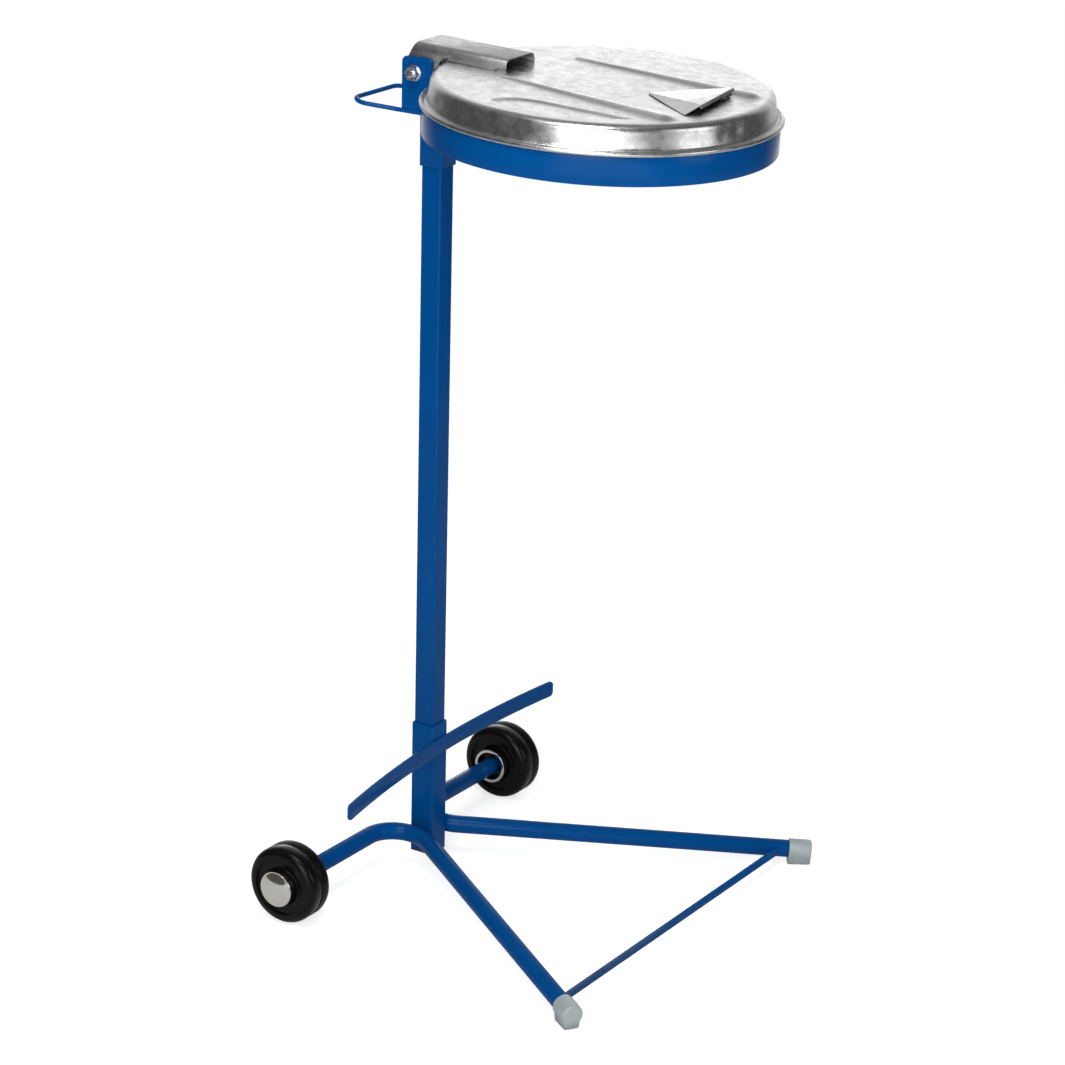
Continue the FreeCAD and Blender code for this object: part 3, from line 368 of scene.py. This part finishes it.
def moulded_plastic(name, dark, light, roughness):
    """Moulded plastic, darker in patches towards the floor."""
    finish, tree, shader = new_finish(name, light, roughness=roughness)
    place = object_place(tree)
    axes = add(tree, "ShaderNodeSeparateXYZ")
    tree.links.new(place, axes.inputs["Vector"])
    # Within 12 mm of the floor the colour turns darker in noisy patches
    low = remap(tree, axes.outputs["Z"], 0.0, 0.012, 0.75, 0.0)
    darker_near_floor = combine(tree, "MULTIPLY", low, noise(tree, place, 130.0, 5.0))
    mottle = combine(tree, "MULTIPLY", noise(tree, place, 45.0, 4.0), 0.35)
    share = combine(tree, "ADD", darker_near_floor, mottle)
    tree.links.new(blend_colours(tree, share, light, dark), shader.inputs["Base Color"])
    tree.links.new(
        remap(tree, noise(tree, place, 90.0, 4.0), 0.3, 0.7, roughness - 0.06, roughness + 0.1),
        shader.inputs["Roughness"],
    )
    add_bump(tree, shader, noise(tree, place, 520.0, 3.0), 0.00008, 0.5)
    return finish


FINISH = {
    "blue_paint": blue_paint(),
    "galvanised_sheet": galvanised("galvanised_sheet"),
    # The arm's copy is rougher zinc, and darker as painted shade that tones down its bright top
    "dull_shaded_galvanised": galvanised("dull_shaded_galvanised_sheet", 0.82, 0.14),
    "zinc_steel": bright_metal("zinc_plated_steel", (0.72, 0.73, 0.76), 0.26, 220.0),
    "chrome": bright_metal("chrome_plate", (0.74, 0.72, 0.69), 0.1, 90.0),
    "black_rubber": black_rubber(),
    "black_plastic": moulded_plastic("black_plastic", (0.05, 0.048, 0.045), (0.012, 0.012, 0.012), 0.45),
    "grey_plastic": moulded_plastic("grey_plastic", (0.16, 0.17, 0.165), (0.42, 0.49, 0.51), 0.36),
}

NODE_SLOTS = {
    "base_sleeve": "blue_paint",
    "column": "blue_paint",
    "top_sleeve": "blue_paint",
    "base_tube_left": "blue_paint",
    "base_tube_right": "blue_paint",
    "cross_brace": "blue_paint",
    "sack_guard": "blue_paint",
    "hinge_bracket": "blue_paint",
    "holding_ring": "blue_paint",
    "carry_handle": "blue_paint",
    "sleeve_plug": "black_plastic",
    "foot_cap_left": "grey_plastic",
    "foot_cap_right": "grey_plastic",
    "column_screws": "zinc_steel",
    "axle_left": "zinc_steel",
    "axle_right": "zinc_steel",
    "axle_clips": "zinc_steel",
    "hinge_bolt": "zinc_steel",
    "hinge_nut": "zinc_steel",
    "hinge_washers": "zinc_steel",
    "lid": "galvanised_sheet",
    "hinge_arm": "galvanised_sheet",
    "lid_grip": "galvanised_sheet",
    "wheel_left": "black_rubber",
    "wheel_right": "black_rubber",
    "hub_cap_left": "chrome",
    "hub_cap_right": "chrome",
    "hub_ring_left": "chrome",
    "hub_ring_right": "chrome",
}
for name, slot_name in NODE_SLOTS.items():
    nodes[name].data.materials.clear()
    nodes[name].data.materials.append(FINISH[slot_name])


# Welded and folded steel: the node's own form, with its edges broken
def break_edges(node, name, width):
    """A copy of a node with slightly rounded edges and smooth curves, shown in its place."""
    mesh = nodes[node].data.copy()
    mesh.name = name
    piece = bpy.data.objects.new(name, mesh)
    bpy.context.scene.collection.objects.link(piece)
    edit(piece)
    bpy.ops.mesh.remove_doubles(threshold=2e-6)
    bpy.ops.mesh.dissolve_limited(angle_limit=math.radians(0.4))
    leave_edit()
    if width:
        soften(piece, width, 35)
    smooth(piece)
    body = nodes[node]["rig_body"]
    return finish_piece(piece, body, FINISH[NODE_SLOTS[node]], NODE_SLOTS[node], node)


for node, name, width in (
    ("base_sleeve", "lower_post_sleeve", 0.4),
    ("column", "square_post", 0.3),
    ("top_sleeve", "upper_post_sleeve", 0.4),
    ("base_tube_left", "bent_leg_tube_left", 0.3),
    ("base_tube_right", "bent_leg_tube_right", 0.3),
    ("cross_brace", "leg_brace_rod", 0),
    ("hinge_bracket", "folded_hinge_bracket", 0.5),
    ("holding_ring", "rolled_sack_hoop", 0.5),
    ("sleeve_plug", "sleeve_end_plug", 0.4),
    ("foot_cap_left", "moulded_foot_left", 0.4),
    ("foot_cap_right", "moulded_foot_right", 0.4),
    ("hinge_bolt", "round_head_bolt", 0.3),
    ("hinge_nut", "hex_nut", 0.5),
    ("hinge_washers", "flat_washers", 0.2),
):
    break_edges(node, name, width)


# Wheels, spun from their outlines; the chrome pieces on both ends of a hub share two radii
HUB_TRIM_OUTER = 24.35
HUB_TRIM_INNER = 23.45


def half_wheel(hub_end):
    """The outline from the bore out to the middle of the tread."""
    half = 22.5
    shoulder = 41.5
    turn_in = 11.0
    bore, bore_end = 8.08, 24.0
    socket, hub = 19.6, 23.3
    web_face = 19.0
    profile = [
        (bore_end, bore),
        (bore_end, socket, 0.8),
        (hub_end, socket, 0.7),
        (hub_end, hub, 0.7),
        (hub_end - 2.6, hub, 1.2),
        (web_face, 26.5, 1.5),
        (web_face, shoulder - 2.0, 1.0),
        (half, shoulder - 2.0, 0.6),
    ]
    outline = rounded(profile)
    for step in range(13):
        angle = math.pi / 2 * step / 12
        outline.append((half - turn_in * (1 - math.cos(angle)), shoulder + turn_in * math.sin(angle)))
    groove = [(1.5, WHEEL_Z), (1.0, WHEEL_Z - 0.3), (0.8, WHEEL_Z - 0.9)]
    return outline + groove


def make_wheel(side, label):
    """Tyre and hub in one: a flat tread with well rounded shoulders, a sunk side and a hub
    that stands out past the tyre."""
    under_cap, under_ring = 31.0, 33.5
    outline = half_wheel(under_cap)
    outline += [(-x, radius) for x, radius in reversed(half_wheel(under_ring))]
    wheel = turned(f"moulded_wheel_{label}", outline, 144)
    return on_axle(wheel, side)


def on_axle(piece, side):
    """Turn a spun piece so that its X points out along its axle."""
    place = Matrix.Translation(Vector((WHEEL_X, side * WHEEL_Y, WHEEL_Z)) * MM)
    piece.data.transform(place @ Matrix.Rotation(side * math.pi / 2, 4, "Z"))
    smooth(piece, 40)
    return piece


def make_hub_cap(side, label):
    """A pressed cup with a domed face and a plain skirt over the hub."""
    outer = HUB_TRIM_OUTER
    inner = HUB_TRIM_INNER
    dome = 5.6
    face, back = 32.2, 31.3
    skirt = 28.6
    share = 0.93
    rise = [(face + dome * (1 - (step / 16) ** 2), outer * share * step / 16) for step in range(17)]
    under = [(back + dome * (1 - (step / 12) ** 2), inner * share * step / 12) for step in range(12, -1, -1)]
    rim = [(32.0, outer - 0.3), (31.5, outer), (skirt, outer), (skirt, inner), (31.0, inner)]
    outline = rise + rim + under
    cap = turned(f"domed_hub_cap_{label}", outline, 128, closed=False)
    return on_axle(cap, side)


def make_hub_ring(side, label):
    """An open pressed ring with its skirt over the hub's inner end."""
    back, face, skirt = -33.5, -34.4, -30.6
    opening = 20.4
    outline = rounded(
        [
            (back, opening),
            (back, HUB_TRIM_INNER, 0.2),
            (skirt, HUB_TRIM_INNER),
            (skirt, HUB_TRIM_OUTER, 0.2),
            (face, HUB_TRIM_OUTER, 0.85),
            (face, opening, 0.2),
        ],
        4,
    )
    ring = turned(f"pressed_hub_ring_{label}", outline, 128)
    return on_axle(ring, side)


for side, label in ((1, "left"), (-1, "right")):
    body = f"wheel_{label}"
    finish_piece(make_wheel(side, label), body, FINISH["black_rubber"], "black_rubber", f"wheel_{label}")
    finish_piece(make_hub_cap(side, label), body, FINISH["chrome"], "chrome", f"hub_cap_{label}")
    finish_piece(make_hub_ring(side, label), body, FINISH["chrome"], "chrome", f"hub_ring_{label}")


# Pressed lid; heights are above the hinge line with the hoop's droop taken out
LID_TOP = 25.6
LID_WALL = 213.8
LID_FOOT = 216.3
LID_CORNER = 10.0
LID_FLAT = LID_WALL - LID_CORNER
FLARE = 5.0
FLANGE_Z = -5.9
LID_FOOT_Z = FLANGE_Z + FLARE
RIM_RADIUS = 3.4
RIM_Z = -7.4
RIM_CENTRE = 222.8
LID_SHEET = 1.2
LID_TURN = math.radians(-6.0)
RIBS = (((-100, 76), (160, 87)), ((-100, -76), (160, -87)))
PANEL_EDGE = 183.0
PANEL_INNER = -134.0
PANEL_REAR = (-6.0, -181.0)
PANEL_REAR_RADIUS = 46.0
PANEL_DEPTH = 2.0
# Knocks in the lid's wall: direction, height, width in radians and depth
DENTS = ((-0.16, 10.0, 0.05, 2.2), (-0.27, 6.0, 0.035, 1.2), (-2.2, 8.0, 0.06, 1.0))
DENT_HEIGHT = 8.0


def distance_to_line(x, y, start, stop):
    """How far a point is from a line, and how far along it the nearest point lies, 0 to 1."""
    run = Vector(stop) - Vector(start)
    along = (Vector((x, y)) - Vector(start)).dot(run) / run.length_squared
    along = max(0.0, min(1.0, along))
    return (Vector((x, y)) - (Vector(start) + run * along)).length, along


def ease(value):
    """From 0 to 1 with a soft start and a soft end."""
    value = max(0.0, min(1.0, value))
    return value * value * (3 - 2 * value)


def rib_height(x, y):
    """The two ribs widen and rise towards the front, and their feet run out softly."""
    rise = 0.0
    for start, stop in RIBS:
        away, along = distance_to_line(x, y, start, stop)
        half = 6.5 + 10.5 * along
        height = 2.4 + 2.8 * along
        if away < half:
            rise = max(rise, height * (0.5 + 0.5 * math.cos(math.pi * away / half)) ** 0.8)
    return rise


def panel_depth(x, y):
    """A panel with an outer edge that follows the lid's and a rounded rear end."""
    inside = min(PANEL_EDGE - math.hypot(x, y), PANEL_INNER - y)
    if x < PANEL_REAR[0]:
        end = math.hypot(x - PANEL_REAR[0], y - PANEL_REAR[1])
        inside = min(inside, PANEL_REAR_RADIUS - end)
    return PANEL_DEPTH * ease(inside / 5.0)


def sheet_waves(x, y):
    """Thin sheet is never quite flat: long shallow waves and a slack place near the grip."""
    waves = 0.22 * math.sin(x / 47 + 0.6) * math.cos(y / 38 - 0.4)
    waves += 0.12 * math.sin((x + y) / 23 + 1.1) * math.sin((x - 2 * y) / 61)
    slack = math.exp(-((x - 118) ** 2 + (y + 18) ** 2) / 1300)
    return waves - 0.5 * slack


def wall_knock(around, z):
    """How far the wall stands out of round, with the dents in it."""
    knock = 0.5 * math.sin(around * 5 + 0.7) + 0.35 * math.sin(around * 13)
    for angle, height, width, depth in DENTS:
        away = ((around - angle) / width) ** 2 + ((z - height) / DENT_HEIGHT) ** 2
        knock -= depth * math.exp(-away)
    return knock * ease((z - LID_FOOT_Z) / 8) * ease((LID_TOP + 2 - z) / 8)


def lid_outline():
    """The skin from its centre over the corner, down the wall and round the rolled bead."""
    rings = 96
    outline = [(LID_TOP, LID_FLAT * step / rings) for step in range(rings + 1)]
    corner_z = LID_TOP - LID_CORNER
    for step in range(1, 11):
        angle = math.pi / 2 * step / 10
        height = LID_TOP - LID_CORNER * (1 - math.cos(angle))
        outline.append((height, LID_FLAT + LID_CORNER * math.sin(angle)))
    for step in range(1, 6):
        drop = (corner_z - LID_FOOT_Z) * step / 6
        outline.append((corner_z - drop, LID_WALL + (LID_FOOT - LID_WALL) * step / 6))
    for step in range(7):
        angle = math.pi / 2 * step / 6
        outline.append((LID_FOOT_Z - FLARE * math.sin(angle), LID_FOOT + FLARE * (1 - math.cos(angle))))
    for step in range(17):
        angle = math.radians(100 - 330 * step / 16)
        outline.append((RIM_Z + RIM_RADIUS * math.sin(angle), RIM_CENTRE + RIM_RADIUS * math.cos(angle)))
    return outline


def make_lid():
    """The skin is spun from its outline, pressed on top, knocked in on its wall, and then
    given its thickness."""
    lid = turned("pressed_lid", lid_outline(), 288, closed=False)
    lid.data.transform(Matrix.Rotation(-math.pi / 2, 4, "Y"))
    for vertex in lid.data.vertices:
        x, y, z = (coordinate / MM for coordinate in vertex.co)
        reach = math.hypot(x, y)
        if reach < LID_FLAT:
            turned_x = x * math.cos(LID_TURN) + y * math.sin(LID_TURN)
            turned_y = y * math.cos(LID_TURN) - x * math.sin(LID_TURN)
            edge = ease((LID_FLAT - reach) / 12)
            rise = rib_height(turned_x, turned_y) - panel_depth(x, y) + sheet_waves(x, y)
            vertex.co.z += rise * edge * MM
        elif z > LID_FOOT_Z:
            knock = wall_knock(math.atan2(y, x), z)
            vertex.co.x += knock * x / reach * MM
            vertex.co.y += knock * y / reach * MM
    apply_modifier(lid, "SOLIDIFY", thickness=LID_SHEET * MM, offset=-1)
    lid.data.transform(LEAN @ Matrix.Translation((LID_CENTRE * MM, 0, 0)))
    smooth(lid, 50)
    return lid


finish_piece(make_lid(), "lid", FINISH["galvanised_sheet"], "galvanised_sheet", "lid")


# Bent bar: the sack guard and the handle
COLUMN_X = -184.0
SLEEVE_FRONT = -166.5
GUARD_RADIUS = 1640.0
GUARD_GAP = 0.7
GUARD_TURN = math.radians(2.5)
GUARD_CENTRE_Y = 71.6
GUARD_HALF_SPAN = 262.0
GUARD_LOW = 166.0
GUARD_HEIGHT = 22.0
HANDLE_Z = 1049.0
HANDLE_RADIUS = 3.0
HANDLE_RISE = 9.0
HANDLE_FLAT_END = -40.0
HANDLE_REAR = -98.0


def make_guard():
    """A flat bar bent to a long curve, with rounded ends, that passes in front of the sleeve."""
    centre_x = SLEEVE_FRONT + (GUARD_RADIUS + GUARD_GAP) * math.cos(GUARD_TURN)
    points = []
    for step in range(65):
        around = GUARD_TURN + (step / 32 - 1) * GUARD_HALF_SPAN / GUARD_RADIUS
        x = centre_x - GUARD_RADIUS * math.cos(around)
        points.append((x, GUARD_CENTRE_Y - GUARD_RADIUS * math.sin(around), GUARD_LOW))
    guard = new_piece("curved_guard_bar", points, chain(len(points)))
    edit(guard)
    extrude_lines(z=GUARD_HEIGHT)
    leave_edit()
    ends = (points[0][1], points[-1][1])
    choose(guard, lambda spot: min(abs(spot.y - end) for end in ends) < 0.01)
    bpy.ops.mesh.bevel(affect="VERTICES", offset=6 * MM, segments=5)
    settle_normals()
    thicken(guard, 4, 0, 1)
    soften(guard, 0.6, 50)
    smooth(guard)
    return guard


def make_handle():
    """A round bar bent to a loop, splayed and lifted behind the bracket."""
    corners = [(10, 35), (HANDLE_FLAT_END, 35, 20), (-84, 58, 16), (HANDLE_REAR, 44, 16)]
    corners += [(x, -y, *radius) for x, y, *radius in reversed(corners)]
    curve = bpy.data.curves.new("bent_handle_rod", "CURVE")
    curve.dimensions = "3D"
    curve.bevel_depth = HANDLE_RADIUS * MM
    curve.bevel_resolution = 8
    curve.use_fill_caps = True
    line = rounded(corners, 10)
    spline = curve.splines.new("POLY")
    spline.points.add(len(line) - 1)
    for point, (x, y) in zip(spline.points, line):
        behind = max(0.0, HANDLE_FLAT_END - x) / (HANDLE_FLAT_END - HANDLE_REAR)
        point.co = (*(Vector((COLUMN_X + x, y, HANDLE_Z + HANDLE_RISE * behind)) * MM), 1)
    handle = bpy.data.objects.new("bent_handle_rod", curve)
    bpy.context.scene.collection.objects.link(handle)
    pick_only(handle)
    bpy.ops.object.convert(target="MESH")
    handle = bpy.context.object
    smooth(handle, 40)
    return handle


# Bent sheet: the lid's arm and its grip, measured from the hinge
ARM_HALF = 33.0
ARM_FRONT = 134.0
ARM_TOP = 38.5
ARM_BEND = 9.0
ARM_SHEET = 2.0
EYE_RADIUS = 13.0
EYE_BORE = 5.1
THROAT = (30.0, 11.0)
THROAT_FOOT = 39.0
FLANGE_REAR = 54.0
FLANGE_FRONT = 125.0
FLANGE_WIDTH = 13.0
GRIP_APEX = 328.6
GRIP_FRONT = 415.0
GRIP_LIP = 34.1
GRIP_FLAT = 54.0
GRIP_FAR = 62.0
GRIP_NEAR = 80.0
GRIP_SETBACK = 10.0
GRIP_HEM = 3.5
GRIP_TIP = 0.06
GRIP_PIVOT = Vector((371.8, 0, 0)) * MM


def cut_through(piece, name, outline):
    """Cut an outline in X and Z right through a piece from side to side."""
    half = 60
    edges = chain(len(outline)) + [(len(outline) - 1, 0)]
    cutter = new_piece(f"arm_{name}_cutter", [(x, -half, z) for x, z in outline], edges)
    edit(cutter)
    bpy.ops.mesh.edge_face_add()
    bpy.ops.mesh.extrude_region_move(TRANSFORM_OT_translate={"value": (0, 2 * half * MM, 0)})
    settle_normals()
    apply_modifier(piece, "BOOLEAN", operation="DIFFERENCE", solver="EXACT", object=cutter)
    bpy.data.objects.remove(cutter)


def make_arm():
    """An inverted channel bent from sheet, its walls cut to the eyes and the lid's top, with
    a foot flange on each side."""
    corners = [(-ARM_HALF, -EYE_RADIUS), (-ARM_HALF, ARM_TOP, ARM_BEND)]
    corners += [(ARM_HALF, ARM_TOP, ARM_BEND), (ARM_HALF, -EYE_RADIUS)]
    section = rounded(corners, 8)
    arm = new_piece("lid_channel_arm", [(-EYE_RADIUS, y, z) for y, z in section], chain(len(section)))
    edit(arm)
    extrude_lines(x=ARM_FRONT + EYE_RADIUS)
    settle_normals()
    thicken(arm, ARM_SHEET, 2, -1)
    clear = 2 * EYE_RADIUS
    past = ARM_FRONT + 15
    foot = [(-clear, -clear), (past, -clear), (past, LID_TOP), (THROAT_FOOT, LID_TOP), THROAT]
    cut_through(arm, "below", foot + arc(EYE_RADIUS, -45, -180, 15) + [(-clear, 0)])
    lap = -0.1
    above = ARM_TOP + EYE_RADIUS
    rear = [(-clear, lap), (-EYE_RADIUS, lap), (-EYE_RADIUS, ARM_TOP / 2)]
    cut_through(arm, "behind", rear + [(EYE_RADIUS / 4, above), (-clear, above)])
    cut_through(arm, "hole", arc(EYE_BORE, 0, 360, 32)[:-1])
    for side in (1, -1):
        bpy.ops.mesh.primitive_cube_add(size=1)
        flange = bpy.context.object
        middle_y = side * (ARM_HALF + FLANGE_WIDTH / 2)
        middle = ((FLANGE_REAR + FLANGE_FRONT) / 2, middle_y, LID_TOP + ARM_SHEET / 2)
        size = (FLANGE_FRONT - FLANGE_REAR, FLANGE_WIDTH, ARM_SHEET)
        stretch = Matrix.Diagonal((*(Vector(size) * MM), 1))
        flange.data.transform(Matrix.Translation(Vector(middle) * MM) @ stretch)
        pick_only(arm)
        flange.select_set(True)
        bpy.ops.object.join()
    soften(arm, 0.3, 40)
    arm.data.transform(LEAN)
    smooth(arm)
    return arm


def make_grip():
    """A shield of sheet that rises from a point to an open front, with sloping sides and a
    folded hem along its lip."""
    shoulder = GRIP_FRONT - GRIP_SETBACK
    points = [(shoulder, GRIP_FAR, LID_TOP), (GRIP_FRONT, GRIP_FLAT, GRIP_LIP)]
    points += [(GRIP_FRONT, -GRIP_FLAT, GRIP_LIP), (shoulder, -GRIP_NEAR, LID_TOP)]
    grip = new_piece("bent_lid_grip", points, chain(len(points)))
    edit(grip)
    extrude_lines(x=GRIP_APEX - GRIP_FRONT)
    tip = Vector((GRIP_APEX, 0, LID_TOP)) * MM
    bpy.ops.transform.resize(value=(GRIP_TIP, GRIP_TIP, GRIP_TIP), center_override=tip)
    leave_edit()
    choose(grip, lambda spot: abs(spot.x - GRIP_FRONT) < 0.01)
    extrude_lines(z=-GRIP_HEM)
    settle_normals()
    soften(grip, 2.0, 4, 3)
    thicken(grip, 1.2, 2, 1)
    turn = Matrix.Rotation(math.radians(9), 4, "Z")
    grip.data.transform(LEAN @ Matrix.Translation(GRIP_PIVOT) @ turn @ Matrix.Translation(-GRIP_PIVOT))
    smooth(grip, 50)
    return grip


for piece, body, node in (
    (make_guard(), "frame", "sack_guard"),
    (make_handle(), "frame", "carry_handle"),
    (make_arm(), "lid", "hinge_arm"),
    (make_grip(), "lid", "lid_grip"),
):
    # The arm takes the rougher zinc copy, whose darker tone is painted shade
    finish = "dull_shaded_galvanised" if node == "hinge_arm" else NODE_SLOTS[node]
    finish_piece(piece, body, FINISH[finish], NODE_SLOTS[node], node)


# Studio
CAMERA_SPOT = Vector((2.3253, -3.6832, 2.0552))


def make_floor():
    """A pale disc that takes the holder's shadow and reads as white to the camera."""
    below_feet = (0, 0, -0.0005)
    bpy.ops.mesh.primitive_circle_add(vertices=128, radius=2.6, fill_type="NGON", location=below_feet)
    floor = bpy.context.object
    floor.name = "studio_floor"
    finish, tree, shader = new_finish("pale_floor", (0.83, 0.83, 0.83), roughness=0.7)
    shader.inputs["Specular IOR Level"].default_value = 0.1
    path = add(tree, "ShaderNodeLightPath")
    tree.links.new(path.outputs["Is Camera Ray"], shader.inputs["Emission Strength"])
    shader.inputs["Emission Color"].default_value = (0.66, 0.66, 0.66, 1)
    floor.data.materials.append(finish)


def glow(tree, direction, toward, low, high, level):
    """Light from one part of the room: the share rises from low to high as a direction
    comes nearer to toward."""
    near = add(tree, "ShaderNodeVectorMath", operation="DOT_PRODUCT")
    near.inputs[1].default_value = Vector(toward).normalized()
    tree.links.new(direction, near.inputs[0])
    return remap(tree, near.outputs["Value"], low, high, 0.0, level)


def make_world():
    """White to the camera; to everything else a dim room with a pale ceiling, a bright
    backdrop behind the holder and a pale sweep in front of it."""
    world = bpy.data.worlds.new("studio")
    bpy.context.scene.world = world
    world.use_nodes = True
    tree = world.node_tree
    tree.nodes.clear()
    direction = add(tree, "ShaderNodeTexCoord").outputs["Generated"]
    ceiling = glow(tree, direction, (-0.1, 0.15, 1), 0.6, 0.95, 0.2)
    backdrop = glow(tree, direction, (-0.53, 0.84, 0.1), 0.62, 0.99, 1.0)
    sweep = glow(tree, direction, (0.50, -0.80, -0.34), 0.79, 0.93, 2.1)
    horizon = glow(tree, direction, (-0.53, 0.84, 0.05), 0.972, 0.998, 1.5)
    behind = combine(tree, "ADD", backdrop, horizon)
    level = combine(tree, "ADD", combine(tree, "ADD", ceiling, behind), combine(tree, "ADD", sweep, 0.1))
    room = add(tree, "ShaderNodeBackground")
    room.inputs["Color"].default_value = (1, 1, 1, 1)
    tree.links.new(level, room.inputs["Strength"])
    white = add(tree, "ShaderNodeBackground")
    white.inputs["Color"].default_value = (1, 1, 1, 1)
    path = add(tree, "ShaderNodeLightPath")
    choice = add(tree, "ShaderNodeMixShader")
    tree.links.new(path.outputs["Is Camera Ray"], choice.inputs["Fac"])
    tree.links.new(room.outputs["Background"], choice.inputs[1])
    tree.links.new(white.outputs["Background"], choice.inputs[2])
    output = add(tree, "ShaderNodeOutputWorld")
    tree.links.new(choice.outputs["Shader"], output.inputs["Surface"])


def add_lamp(name, spot, target, size, watts):
    light = bpy.data.lights.new(name, "AREA")
    light.shape = "RECTANGLE"
    light.size, light.size_y = size
    light.energy = watts
    lamp = bpy.data.objects.new(name, light)
    lamp.location = spot
    lamp.rotation_euler = (Vector(target) - Vector(spot)).to_track_quat("-Z", "Y").to_euler()
    bpy.context.scene.collection.objects.link(lamp)


def make_camera():
    """The photo's own view, from its turn, pitch, roll and lens."""
    turn = math.radians(32.56)
    pitch = math.radians(19.47)
    roll = math.radians(1.41)
    right = Vector((math.cos(turn), math.sin(turn), 0))
    ahead = Vector((-math.sin(turn), math.cos(turn), 0))
    up = Vector((0, 0, 1))
    gaze = ahead * math.cos(pitch) - up * math.sin(pitch)
    head = up * math.cos(pitch) + ahead * math.sin(pitch)
    tilted_right = right * math.cos(roll) + head * math.sin(roll)
    tilted_up = head * math.cos(roll) - right * math.sin(roll)
    data = bpy.data.cameras.new("camera")
    data.sensor_width = 36
    data.lens = 120.5
    data.clip_end = 60
    camera = bpy.data.objects.new("camera", data)
    place = Matrix((tilted_right, tilted_up, -gaze)).transposed().to_4x4()
    place.translation = CAMERA_SPOT
    camera.matrix_world = place
    bpy.context.scene.collection.objects.link(camera)
    bpy.context.scene.camera = camera


make_floor()
make_world()
add_lamp("overhead_softbox", (0.4, -1.4, 3.5), (0, 0, 0.6), (1.1, 1.1), 42)
add_lamp("front_softbox", (1.6, -3.9, 2.3), (0, 0, 0.7), (2.6, 2.2), 95)
add_lamp("right_softbox", (3.6, 0.2, 1.6), (0, 0, 0.7), (1.6, 2.0), 22)
make_camera()
bpy.context.scene.view_settings.view_transform = "Standard"
